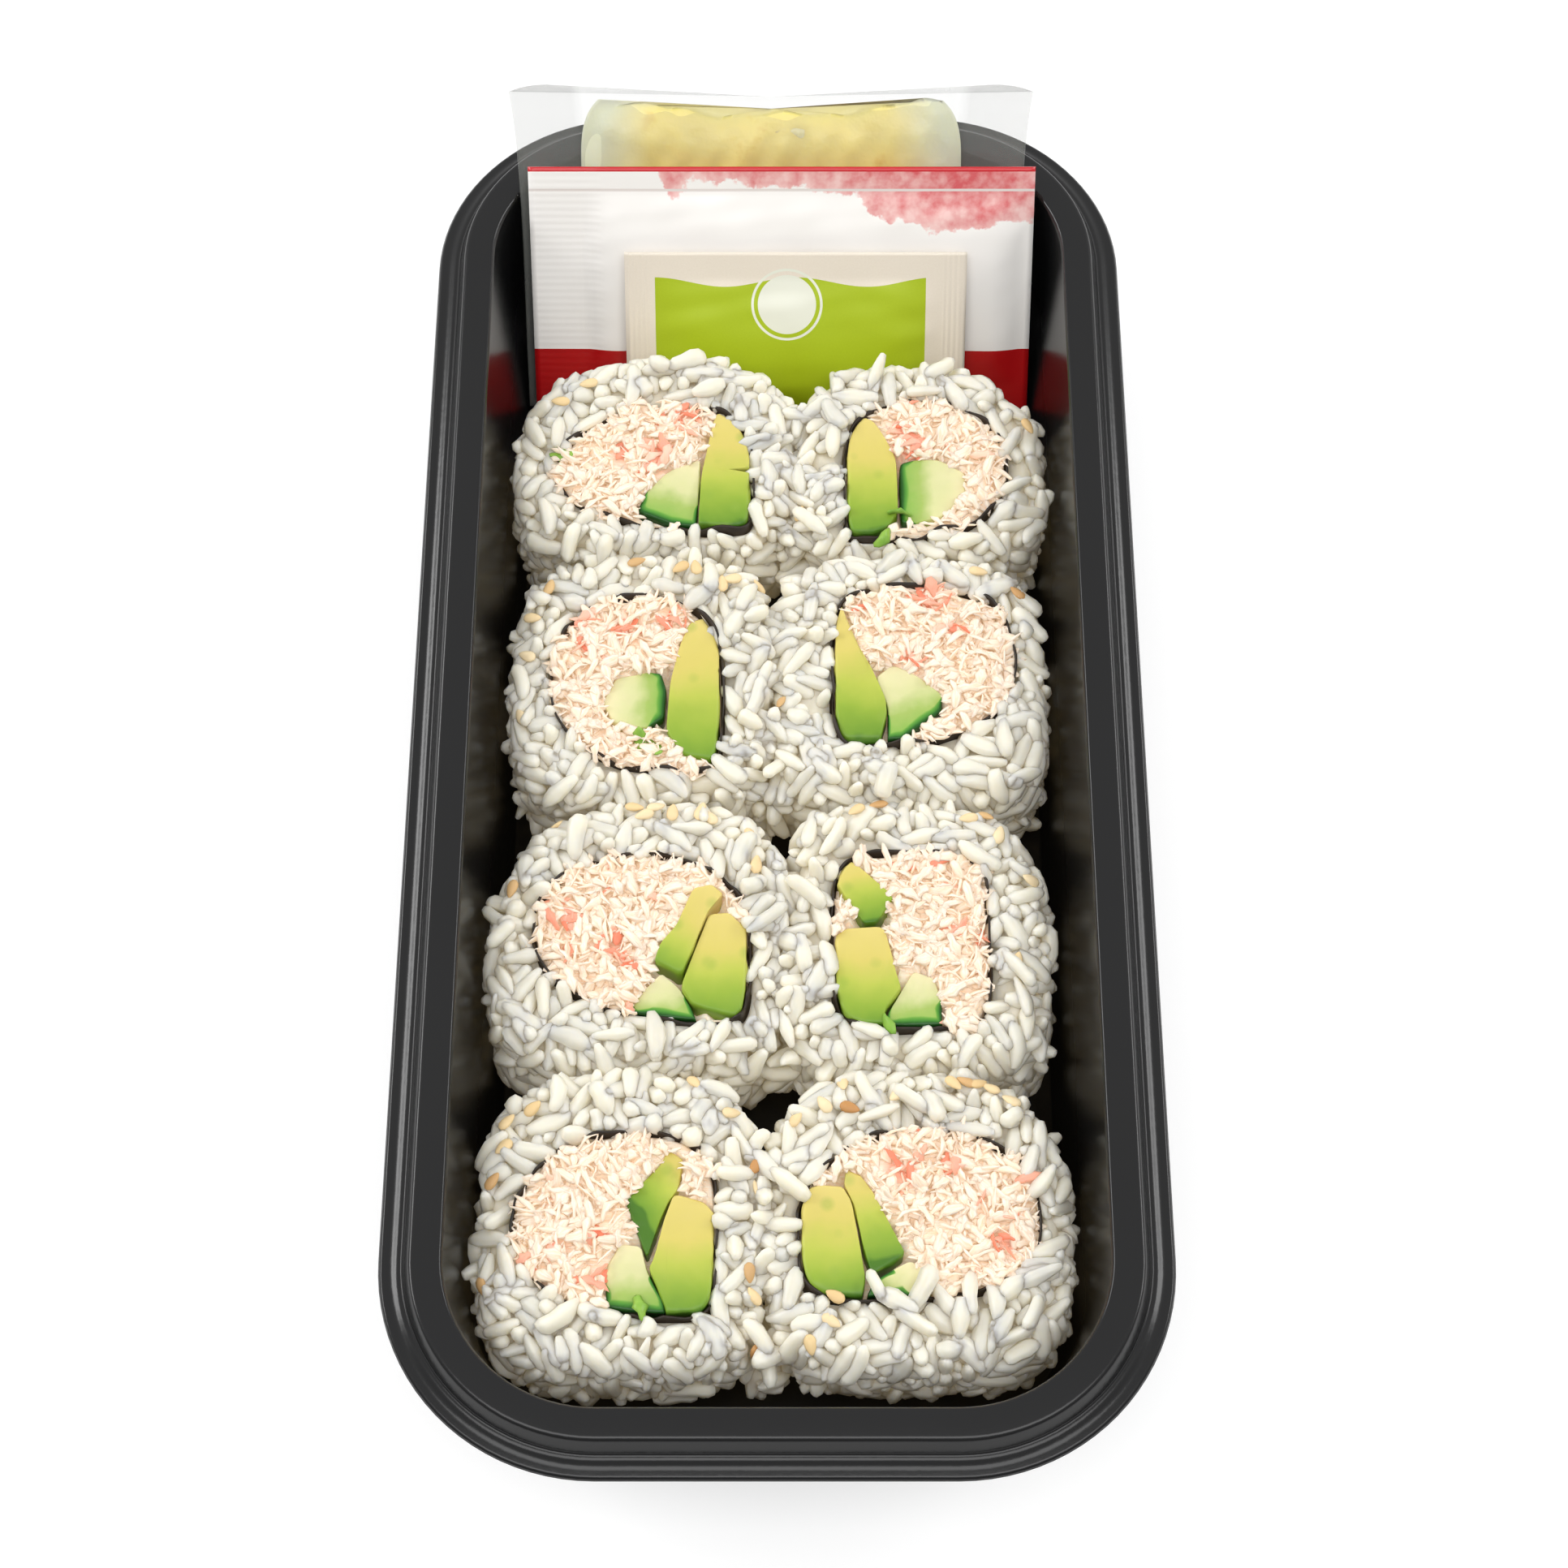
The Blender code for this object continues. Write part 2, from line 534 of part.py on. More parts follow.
def main():
    """Build the tray, then the sachets, then the rolls."""
    clear_scene()
    collection = new_collection("sushi_tray")
    cutters = new_collection("cutters")
    materials = {
        "tray": new_material("black_plastic", (0.012, 0.012, 0.013), 0.35),
        "rice": new_material("cooked_rice", (0.80, 0.80, 0.74), 0.4),
        "nori": new_material("nori", (0.02, 0.022, 0.015), 0.6),
        "crab": new_material("shredded_crab", (0.85, 0.66, 0.54), 0.5),
        "avocado": new_material("avocado", (0.55, 0.62, 0.10), 0.4),
        "cucumber": new_material("cucumber", (0.50, 0.62, 0.25), 0.35),
        "soy": new_material("printed_sachet_film", (0.80, 0.78, 0.77), 0.3),
        "wasabi": new_material("printed_sachet_paper", (0.41, 0.60, 0.03), 0.45),
        "ginger": new_material("clear_film", (0.80, 0.72, 0.30), 0.15),
    }
    build_tray(materials["tray"], collection)
    build_sachets(materials, collection)
    for number, roll in enumerate(ROLLS, start=1):
        build_roll(number, roll, materials, collection, cutters)
    shade(collection)


main()
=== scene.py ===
"""Looks of a takeaway sushi tray: eight inside-out rolls with their cut side up, three sachets, a black tray.

X runs across the tray, Y from its front to its back and Z up. Shapes are worked out in millimetres, as
arrays, and become metres when their mesh is made.
"""
import math

import bpy
import numpy as np
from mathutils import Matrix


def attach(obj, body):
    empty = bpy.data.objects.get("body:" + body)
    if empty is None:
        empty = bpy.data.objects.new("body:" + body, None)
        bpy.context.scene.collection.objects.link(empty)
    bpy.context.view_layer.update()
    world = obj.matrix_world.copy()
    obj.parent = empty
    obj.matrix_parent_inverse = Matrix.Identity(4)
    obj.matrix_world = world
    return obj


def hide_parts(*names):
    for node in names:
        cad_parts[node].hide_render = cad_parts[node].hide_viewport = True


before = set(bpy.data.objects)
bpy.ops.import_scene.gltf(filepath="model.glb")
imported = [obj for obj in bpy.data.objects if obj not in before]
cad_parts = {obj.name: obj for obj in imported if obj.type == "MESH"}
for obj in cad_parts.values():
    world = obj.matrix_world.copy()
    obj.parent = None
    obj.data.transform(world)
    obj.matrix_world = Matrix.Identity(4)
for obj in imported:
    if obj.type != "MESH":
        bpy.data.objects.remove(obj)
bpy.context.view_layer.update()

MM = 0.001

# Camera: the photograph's place, tilt from straight down and lens on a 36 mm sensor
CAMERA_PLACE = (0.001, -0.2266, 0.4598)
CAMERA_TILT = 26.8
CAMERA_LENS = 70.79

# Tray: outer size, corner radius, wall, and each step of its upper side as inset and height
TRAY_WIDTH = 115.0
TRAY_LENGTH = 239.0
TRAY_CORNER = 32.0
TRAY_WALL = 0.6
TRAY_PROFILE = ((0.0, 31.9), (0.4, 32.4), (1.8, 32.5), (2.8, 33.05), (3.5, 33.1), (4.8, 36.0), (9.2, 36.0), (9.6, 35.5), (13.3, 5.5),
                (14.2, 2.0), (16.8, 0.6), (24.0, 0.6), (30.5, 0.6))
TRAY_ROUNDING = 0.6
TRAY_INSIDE = 9.7

# Rolls: height of their foot, seaweed thickness, and how round the rice's upper and lower edges are
FLOOR = 0.95
NORI_THICKNESS = 0.5
SHOULDER = 3.6
HEEL = 6.0

# Rice: size of a cooked grain, how many there are to a cubic millimetre, how deep they lie, the height
# below which only half of them are kept, the pull that packs them against the skin, and the square root
# of how far some stand out of it
GRAIN_LENGTH = (5.6, 8.0)
BROKEN_LENGTH = (3.2, 4.6)
BROKEN_SHARE = 0.15
GRAIN_WIDTH = (2.4, 3.2)
GRAIN_FLATNESS = (0.72, 0.95)
GRAIN_BEND = 0.7
GRAIN_RADIUS = 1.02
GRAIN_REACH = 1.65
GRAIN_DENSITY = 0.074
GRAIN_DEPTH = 3.5
GRAIN_PULL = 0.05
GRAIN_STANDING = 1.15
HIDDEN_HEIGHT = 9.0
SETTLING_STEPS = 80
LOOSE_GRAINS = 16
BRIDGING_GRAINS = 30
CORE_DEPTH = 1.75
CORE_SLACK = 6.0

# Crab: length, width and thickness of its flakes and of its fine threads, how many there are to a square
# millimetre, the share of threads, and the share of stray pink ones
FLAKE_LENGTH = (2.4, 5.6)
FLAKE_WIDTH = (0.8, 2.1)
THREAD_LENGTH = (2.5, 5.0)
THREAD_WIDTH = (0.3, 0.65)
SHRED_THICKNESS = 0.5
SHREDS_PER_AREA = 1.3
THREAD_SHARE = 0.35
PINK_STRAY = 0.012

# Sesame seeds
SEED_LENGTH = 3.1
SEED_WIDTH = 1.85
SEED_THICKNESS = 0.95

# Rolls from the back row to the front, left then right. An outline is (left, right, front, back), the X
# of its backmost and frontmost points, the Y of its widest place and how square its corners are, from
# the back right corner round to the front right. Each avocado strip and the cucumber are corner lists.
# skin is the side of the cucumber with its skin, pink the coloured spots of the crab as (x, y, radius),
# scraps the loose bits of green, sesame the seeds, and second how far a second avocado strip rises, its
# shift from green to yellow and its green side.
ROLLS = (
    dict(top=27.3, lean=(0.010, -0.012),
         rice=((-43.6, 2.3, 34.9, 74.0), (-20.0, -20.0), 55.0, (2.8, 2.0, 3.6, 5.0)),
         nori=((-37.0, -4.2, 38.6, 63.5), (-17.0, -8.0), 50.0, (2.4, 2.0, 2.0, 5.0)),
         avocado=(((-10.4, 61.4), (-7.6, 62.5), (-3.2, 54.0), (-2.6, 37.8), (-9.3, 37.8), (-13.1, 38.5),
                   (-12.7, 48.8)),),
         cucumber=((-18.3, 50.0), (-12.9, 52.4), (-12.9, 48.8), (-13.4, 38.8), (-16.2, 39.2),
                   (-23.2, 42.0), (-22.0, 45.5)),
         skin=(-0.3, -1.0), pink=((-16, 61, 2.2), (-35, 56, 1.8), (-20, 54, 2.0), (-20, 51, 1.4), (-26, 54, 2.0)),
         scraps=((-36.0, 53.0),), sesame=((-31.8, 67.0), (-36.4, 63.4))),
    dict(top=27.0, lean=(-0.008, 0.010),
         rice=((2.8, 44.2, 34.7, 71.8), (24.0, 24.0), 54.0, (2.2, 2.8, 5.0, 3.8)),
         nori=((11.0, 38.0, 37.6, 64.0), (23.0, 14.0), 52.0, (2.4, 2.4, 5.0, 2.6)),
         avocado=(((12.8, 61.5), (15.8, 60.0), (17.6, 57.0), (19.6, 52.5), (19.8, 42.0), (18.0, 39.2),
                   (9.5, 35.5), (9.3, 45.0), (10.5, 54.0)),),
         cucumber=((20.1, 51.8), (23.3, 52.6), (27.0, 52.5), (31.2, 50.0), (31.0, 45.5), (27.0, 41.3),
                   (23.0, 40.3), (20.2, 40.3)),
         skin=(-1.0, 0.0), pink=((21.4, 54.4, 2.6), (35, 60, 1.6), (21, 58, 1.8), (34.5, 62, 1.4)),
         scraps=((17.0, 37.0), (20.0, 41.5)), sesame=((3.0, 61.0), (41.7, 58.8), (3.6, 42.5))),
    dict(top=27.4, lean=(0.012, 0.006),
         rice=((-42.6, -1.2, -10.0, 34.4), (-22.0, -22.0), 13.0, (4.0, 2.8, 4.0, 5.0)),
         nori=((-36.5, -8.8, -5.5, 26.3), (-22.0, -15.0), 12.0, (2.3, 2.1, 2.3, 5.0)),
         avocado=(((-14.2, 21.0), (-10.6, 22.3), (-8.0, 17.0), (-7.4, 6.0), (-7.2, -4.6), (-14.9, -3.2),
                   (-17.7, 1.1), (-17.2, 10.0), (-15.5, 17.4)),),
         cucumber=((-20.5, 12.0), (-18.6, 11.8), (-17.7, 8.6), (-18.0, 3.6), (-21.0, 1.8), (-26.1, 2.7),
                   (-28.0, 6.8), (-26.0, 11.0)),
         skin=(1.0, 0.0), pink=((-32, 22, 2.2), (-18, 21, 1.8), (-31, 17, 1.5), (-24, 20, 2.0)),
         scraps=((-22.0, -0.6), (-19.6, -1.8)),
         sesame=((-23.0, 32.0), (-15.8, 30.8), (-13.3, 30.8), (-7.4, 28.6), (-9.0, 27.7), (-3.0, 28.3),
                 (-5.8, 25.0), (-37.0, 27.4), (-39.6, 21.6), (-40.2, 14.6), (-40.8, 3.8))),
    dict(top=27.2, lean=(-0.006, -0.010),
         rice=((-0.6, 42.9, -10.0, 34.2), (21.0, 21.0), 13.0, (3.1, 4.0, 5.0, 5.0)),
         nori=((8.7, 38.0, -0.8, 28.0), (22.0, 14.0), 13.0, (3.0, 4.0, 5.0, 2.4)),
         avocado=(((10.2, 24.5), (11.4, 20.0), (12.9, 16.8), (15.1, 12.5), (17.2, 6.8), (17.4, 4.3),
                   (16.0, -1.5), (7.0, -2.5), (7.2, 12.0), (8.5, 21.0)),),
         cucumber=((18.3, 13.6), (22.0, 11.8), (26.4, 8.0), (26.1, 4.9), (20.1, 0.3), (17.4, -1.5),
                   (17.6, 5.5), (15.6, 11.2)),
         skin=(0.45, -1.0), pink=((25, 26, 2.4), (20, 15, 1.6), (28, 20, 1.5), (14, 24, 1.2), (22, 14.5, 1.3)),
         scraps=(), sesame=((32.6, 30.5), (38.9, 26.6), (0.5, 6.5))),
    dict(top=27.5, lean=(0.014, -0.008),
         rice=((-44.3, 0.4, -55.4, -10.6), (-20.0, -20.0), -33.0, (2.9, 2.1, 4.0, 5.0)),
         nori=((-37.5, -4.2, -48.7, -20.2), (-20.0, -10.0), -33.0, (2.0, 2.3, 2.1, 5.0)),
         avocado=(((-10.5, -30.7), (-7.4, -30.5), (-5.0, -33.0), (-2.4, -36.0), (-2.2, -49.0),
                   (-12.9, -46.0), (-14.7, -43.0), (-12.4, -36.0)),
                  ((-13.0, -26.6), (-10.2, -25.9), (-8.3, -27.6), (-10.7, -30.6), (-12.6, -36.0),
                   (-14.6, -41.2), (-18.8, -38.8), (-18.0, -36.0), (-15.5, -32.9))),
         second=(0.9, 0.1, (-0.6, -0.8)),
         cucumber=((-17.7, -40.4), (-14.9, -42.9), (-13.0, -46.2), (-12.0, -49.0), (-21.1, -48.8),
                   (-22.0, -46.0), (-20.5, -43.5)),
         skin=(0.1, -1.0), pink=((-31.8, -30.7, 1.3), (-32.4, -36.6, 1.3), (-25.5, -36.0, 1.8), (-24, -38.5, 1.4)),
         scraps=(),
         sesame=((-22.4, -12.3), (-19.0, -12.3), (-16.4, -13.5), (-12.0, -13.2), (-10.5, -14.4), (-20.8, -13.9),
                 (-4.0, -17.3), (-3.3, -22.6), (1.0, -28.2), (-34.6, -14.0), (-41.0, -26.5))),
    dict(top=27.1, lean=(-0.010, 0.012),
         rice=((1.0, 41.6, -55.4, -10.6), (21.0, 21.0), -33.0, (2.7, 3.6, 5.0, 5.0)),
         nori=((8.4, 32.6, -49.3, -19.7), (20.0, 20.0), -34.0, (4.0, 4.0, 5.0, 5.0)),
         avocado=(((10.4, -32.9), (16.4, -32.6), (18.3, -41.0), (18.9, -42.9), (16.4, -46.4),
                   (15.5, -51.0), (6.5, -51.0), (6.8, -36.0)),
                  ((8.0, -23.0), (11.4, -21.2), (17.0, -26.6), (17.9, -27.9), (15.3, -31.9),
                   (13.3, -32.2), (10.2, -27.5))),
         second=(0.2, -0.08, (0.3, -1.0)),
         cucumber=((20.8, -39.8), (23.9, -41.0), (25.0, -44.8), (25.0, -51.0), (16.0, -51.0),
                   (16.6, -47.0), (18.6, -43.5)),
         skin=(0.1, -1.0), pink=((31.9, -33.5, 1.3), (33.6, -35.5, 1.0), (27, -33, 1.0)),
         scraps=((17.0, -48.8),),
         sesame=((12.3, -12.9), (15.8, -11.6), (29.8, -14.4), (32.6, -13.5), (34.5, -17.3), (39.2, -24.8),
                 (36.6, -38.6))),
    dict(top=27.6, lean=(0.008, 0.010), heel=16.0,
         rice=((-44.0, -2.3, -102.2, -56.0), (-23.0, -23.0), -79.0, (3.0, 3.0, 3.8, 5.0)),
         nori=((-39.0, -8.8, -94.4, -66.0), (-22.0, -15.0), -80.0, (3.0, 2.0, 2.3, 5.0)),
         avocado=(((-15.2, -75.9), (-10.5, -77.3), (-8.4, -80.0), (-6.8, -84.0), (-6.8, -96.0),
                   (-15.6, -96.0), (-16.3, -92.8), (-18.7, -87.5), (-18.0, -86.0), (-16.6, -80.0)),
                  ((-16.1, -68.8), (-13.8, -70.4), (-14.6, -75.0), (-15.9, -76.9), (-17.2, -80.0),
                   (-19.0, -85.7), (-20.7, -81.3), (-22.4, -76.9), (-19.9, -74.0), (-17.4, -71.3))),
         second=(-0.3, -0.22, (-0.8, -0.6)),
         cucumber=((-23.0, -83.4), (-19.9, -83.8), (-18.9, -87.7), (-16.2, -92.6), (-16.2, -96.0),
                   (-24.8, -96.0), (-25.0, -87.5)),
         skin=(0.1, -1.0),
         pink=((-37, -87, 1.4), (-32, -84, 1.5), (-27, -82, 1.2), (-33, -77, 1.2), (-25, -88, 1.2), (-34.5, -89, 1.0)),
         scraps=((-19.9, -93.4),),
         sesame=((-40.2, -64.7), (-36.4, -62.8), (-40.5, -68.8), (-42.0, -74.0), (-12.4, -58.4), (-6.8, -63.4),
                 (-3.3, -71.6), (-2.8, -75.0), (-4.0, -88.0), (-3.3, -91.3), (-3.3, -99.0), (-43.0, -89.7))),
    dict(top=27.2, lean=(-0.012, -0.006), heel=16.0,
         rice=((-1.6, 43.4, -102.2, -56.0), (21.0, 21.0), -79.0, (2.5, 3.0, 4.5, 3.5)),
         nori=((3.1, 38.8, -91.8, -65.5), (20.0, 15.0), -79.0, (2.4, 1.8, 5.0, 2.6)),
         avocado=(((6.4, -74.4), (9.6, -74.6), (10.9, -76.9), (12.1, -83.8), (12.9, -89.0),
                   (12.0, -93.0), (1.0, -93.0), (1.4, -82.0), (4.4, -75.0)),
                  ((10.1, -71.9), (12.3, -72.8), (13.9, -75.0), (16.4, -80.0), (18.9, -85.0),
                   (13.8, -88.2), (12.5, -83.8), (11.3, -77.5), (9.8, -74.2))),
         second=(0.1, -0.1, (0.3, -1.0)),
         cucumber=((19.6, -85.8), (14.0, -89.0), (13.0, -91.2), (13.0, -93.5), (22.5, -93.5), (22.5, -88.5)),
         skin=(-0.7, -0.7), pink=((17, -72, 1.8), (19.5, -73, 1.6), (33.5, -83, 2.0), (37.8, -73.5, 1.4), (26, -71, 1.5)),
         scraps=(),
         heap=((14.5, -90.2), (17.5, -92.5), (21.0, -90.8), (24.5, -92.3), (28.0, -91.0), (31.5, -92.5), (34.5, -90.0),
               (38.0, -88.5), (26.5, -95.0), (32.5, -96.0), (20.0, -95.5), (37.0, -94.0)),
         sesame=((9.8, -58.3), (26.4, -58.4), (28.3, -58.0), (30.2, -58.2), (32.0, -59.0), (18.0, -60.3),
                 (7.0, -62.0), (10.8, -62.5), (2.8, -64.0), (8.4, -91.6), (7.8, -95.3), (4.8, -98.8), (35.0, -61.0))),
)

# Sachets: width, X of the middle, side view as (Y, Z) from the foot up, greatest thickness, and where
# they are full, across and up the sheet: from, to, and the length of the slope there
SOY = dict(width=86.0, middle=0.6, side=((76.6, 5.6), (102.0, 41.0)), fill=3.0,
           full=((-0.78, 0.96, 0.14), (0.1, 0.9, 0.2)))
WASABI = dict(width=58.5, middle=3.0,
              side=((75.2, 2.2), (76.2, 7.5), (78.3, 13.5), (82.5, 20.0), (87.0, 26.0), (91.3, 31.5)),
              fill=3.0, full=((-0.84, 0.84, 0.4), (0.14, 0.86, 0.35)))
GINGER = dict(width=85.0, middle=-1.2, side=((77.6, 5.2), (99.6, 36.0), (110.7, 50.0)), fill=6.0,
              full=((-0.76, 0.76, 0.25), (0.16, 0.97, 0.12)))
GINGER_FILLED = 0.76
GINGER_BELLY = 5.4
GINGER_SAG = 5.6
GINGER_FLARE = 1.5
SEAL = 0.35

rng = np.random.default_rng(11)


# Meshes

def solid(name, rings, material, tips=None, **attributes):
    """Mesh of closed bodies that are alike. rings is (bodies, rows, columns, 3): a point joins the next of
    its ring and the same one of the next ring. A fan to each of tips (bodies, 2, 3) closes the ends, and
    without tips the last ring joins the first. An attribute has a value for each body or each ring point."""
    bodies, rows, columns, _ = rings.shape
    grid = np.arange(rows * columns).reshape(rows, columns)
    below = grid if tips is None else grid[:-1]
    above = np.roll(grid, -1, 0) if tips is None else grid[1:]
    quads = np.stack([below, np.roll(below, -1, 1), np.roll(above, -1, 1), above], -1).reshape(-1, 4)
    points = rings.reshape(bodies, -1, 3)
    fans = np.zeros((0, 3), int)
    if tips is not None:
        points = np.concatenate([points, tips], 1)
        first = np.stack([np.full(columns, rows * columns), np.roll(grid[0], -1), grid[0]], -1)
        last = np.stack([np.full(columns, rows * columns + 1), grid[-1], np.roll(grid[-1], -1)], -1)
        fans = np.concatenate([first, last])
    corners = np.concatenate([quads[:, [0, 1, 2]], quads[:, [0, 2, 3]], fans])
    a, b, c = (points[0][corners[:, k]] for k in range(3))
    if np.einsum("ij,ij->", a, np.cross(b, c)) < 0:
        quads, fans = quads[:, ::-1], fans[:, ::-1]
    step = points.shape[1] * np.arange(bodies)[:, None]
    loops = np.concatenate([(quads.reshape(1, -1) + step).ravel(), (fans.reshape(1, -1) + step).ravel()])
    lengths = np.repeat([4, 3], [bodies * len(quads), bodies * len(fans)])

    mesh = bpy.data.meshes.new(name)
    mesh.vertices.add(points.size // 3)
    mesh.vertices.foreach_set("co", (points * MM).astype(np.float32).ravel())
    mesh.loops.add(len(loops))
    mesh.loops.foreach_set("vertex_index", loops.astype(np.int32))
    mesh.polygons.add(len(lengths))
    mesh.polygons.foreach_set("loop_start", (np.cumsum(lengths) - lengths).astype(np.int32))
    mesh.polygons.foreach_set("use_smooth", np.ones(len(lengths), bool))
    for key, value in attributes.items():
        value = np.asarray(value, float)
        if value.ndim == 1:
            value = np.repeat(value[:, None], points.shape[1], 1)
        else:
            value = value.reshape(bodies, rows, columns, -1)
            ends = value[:, [0, -1]].mean(2) if tips is not None else value[:, :0, 0]
            value = np.concatenate([value.reshape(bodies, rows * columns, -1), ends], 1)
        vector = value.ndim == 3 and value.shape[-1] == 3
        layer = mesh.attributes.new(key, "FLOAT_VECTOR" if vector else "FLOAT", "POINT")
        layer.data.foreach_set("vector" if vector else "value", value.astype(np.float32).ravel())
    mesh.update(calc_edges=True)
    mesh.validate()
    mesh.materials.append(material)
    obj = bpy.data.objects.new(name, mesh)
    bpy.context.scene.collection.objects.link(obj)
    return obj


def keep(obj, slot, *nodes):
    """The piece rides on the tray and stands for those CAD nodes, which are hidden; slot is not used."""
    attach(obj, "root")
    if nodes:
        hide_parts(*nodes)


def unit(vectors):
    """Vectors of length one."""
    return vectors / np.maximum(np.linalg.norm(vectors, axis=-1, keepdims=True), 1e-9)


def across(axes):
    """Two unit vectors square to each axis and to each other, turned at random about it."""
    first = unit(np.cross(axes, rng.normal(size=axes.shape)))
    return first, np.cross(axes, first)


def ripple(points, size, seed):
    """Smooth noise of about -1 to 1: the sum of seven sines along random directions, of wavelengths
    from 0.6 to 1.6 times size, divided by the root of seven."""
    dice = np.random.default_rng(seed)
    total = 0.0
    for _ in range(7):
        direction = unit(dice.normal(size=3))
        wave = 2 * np.pi / (size * dice.uniform(0.6, 1.6))
        total = total + np.sin(points @ direction * wave + dice.uniform(0, 2 * np.pi))
    return total / math.sqrt(7)


def ramp(x, low, high):
    """0 below low, 1 above high, and the cubic 3t^2 - 2t^3 between them."""
    t = np.clip((x - low) / (high - low), 0.0, 1.0)
    return t * t * (3 - 2 * t)


def fullness(x, low, high, soft):
    """1 between low and high, falling to 0 over a distance soft on both sides as a quarter sine."""
    return np.sin(np.pi / 2 * np.clip(np.minimum(x - low, high - x) / soft, 0.0, 1.0))


def polyline(points, share):
    """Point at a share of the length of a polyline whose corners are rounded by three corner cuttings."""
    points = np.array(points, float)
    for _ in range(3):
        inner = np.stack([0.75 * points[:-1] + 0.25 * points[1:], 0.25 * points[:-1] + 0.75 * points[1:]], 1)
        points = np.concatenate([points[:1], inner.reshape(-1, points.shape[1])[1:-1], points[-1:]])
    steps = np.linalg.norm(np.diff(points, axis=0), axis=1)
    length = np.concatenate(([0.0], np.cumsum(steps))) / steps.sum()
    return np.stack([np.interp(share, length, points[:, k]) for k in range(points.shape[1])], -1)


# Outlines of the rolls

def outline(spec, count, grow=0.0):
    """Closed curve of four quarter superellipses: x = middle + sign(c)|c|^(2/n) reach, y likewise with
    the sine, where n and the reach are those of the quarter, and grow is added to the reach."""
    (left, right, front, back), (back_x, front_x), waist, powers = spec
    angle = 2 * np.pi * np.arange(count) / count
    c = np.cos(angle)
    s = np.sin(angle)
    quarter = np.where(s >= 0, np.where(c >= 0, 0, 1), np.where(c < 0, 2, 3))
    power = 2.0 / np.array(powers)[quarter]
    middle = np.where(s >= 0, back_x, front_x)
    x = middle + np.sign(c) * np.abs(c) ** power * (np.where(c >= 0, right - middle, middle - left) + grow)
    y = waist + np.sign(s) * np.abs(s) ** power * (np.where(s >= 0, back - waist, waist - front) + grow)
    return np.stack([x, y], -1)


def level(spec, x, y):
    """1 on the outline, less inside: (|dx / reach|^n + |dy / reach|^n)^(1/n) of the quarter."""
    (left, right, front, back), (back_x, front_x), waist, powers = spec
    behind = y >= waist
    middle = np.where(behind, back_x, front_x)
    beyond = x >= middle
    quarter = np.where(behind, np.where(beyond, 0, 1), np.where(beyond, 3, 2))
    n = np.array(powers)[quarter]
    dx = np.abs(x - middle) / np.where(beyond, right - middle, middle - left)
    dy = np.abs(y - waist) / np.where(behind, back - waist, waist - front)
    return (dx ** n + dy ** n + 1e-12) ** (1 / n)


def inside(spec, x, y):
    """Distance inside an outline, below 0 outside it: (1 - level) over the slope of level."""
    e = 0.05
    slope = np.hypot(level(spec, x + e, y) - level(spec, x - e, y), level(spec, x, y + e) - level(spec, x, y - e))
    return (1 - level(spec, x, y)) * 2 * e / np.maximum(slope, 1e-4)


def cut_face(roll, x, y):
    """Height of the roll's cut face: its top, tilted by its lean about the rice's middle."""
    (left, right, front, back), _, _, _ = roll["rice"]
    return roll["top"] + roll["lean"][0] * (x - (left + right) / 2) + roll["lean"][1] * (y - (front + back) / 2)


def in_polygon(corners, x, y):
    """True inside a polygon: an odd number of its sides lie to the right of the point."""
    odd = np.zeros(np.shape(x), bool)
    for (ax, ay), (bx, by) in zip(corners, corners[1:] + corners[:1]):
        crosses = (ay > y) != (by > y)
        odd ^= crosses & (x < (bx - ax) * (y - ay) / np.where(by == ay, 1e-9, by - ay) + ax)
    return odd


def side_distance(corners, x, y):
    """Distance from a point to the nearest side of a polygon."""
    nearest = np.full(np.shape(x), 1e6)
    for (ax, ay), (bx, by) in zip(corners, corners[1:] + corners[:1]):
        dx, dy = bx - ax, by - ay
        t = np.clip(((x - ax) * dx + (y - ay) * dy) / (dx * dx + dy * dy), 0.0, 1.0)
        nearest = np.minimum(nearest, np.hypot(x - ax - t * dx, y - ay - t * dy))
    return nearest


def skin_depth(roll, p):
    """Distance below the rice's outer skin: of those to the wall, to the face and to the foot the least,
    with the edges between them rounded by a circle of radius SHOULDER above and HEEL below, or the
    roll's own heel."""
    heel = roll.get("heel", HEEL)
    wall = inside(roll["rice"], p[..., 0], p[..., 1])
    face = cut_face(roll, p[..., 0], p[..., 1]) - p[..., 2]
    foot = p[..., 2] - FLOOR
    upper = SHOULDER - np.hypot(np.maximum(SHOULDER - wall, 0), np.maximum(SHOULDER - face, 0))
    lower = heel - np.hypot(np.maximum(heel - wall, 0), np.maximum(heel - foot, 0))
    return np.minimum(upper, lower)


def hole_depth(roll, p):
    """Distance out from the seaweed."""
    return -inside(roll["nori"], p[..., 0], p[..., 1]) - NORI_THICKNESS / 2


def slope_of(rule, roll, p):
    """Value of a rule of (roll, point) and the unit direction in which it grows, by small steps."""
    here = rule(roll, p)
    steps = [rule(roll, p + 0.05 * direction) - here for direction in np.eye(3)]
    return here, unit(np.stack(steps, -1))


# Rice

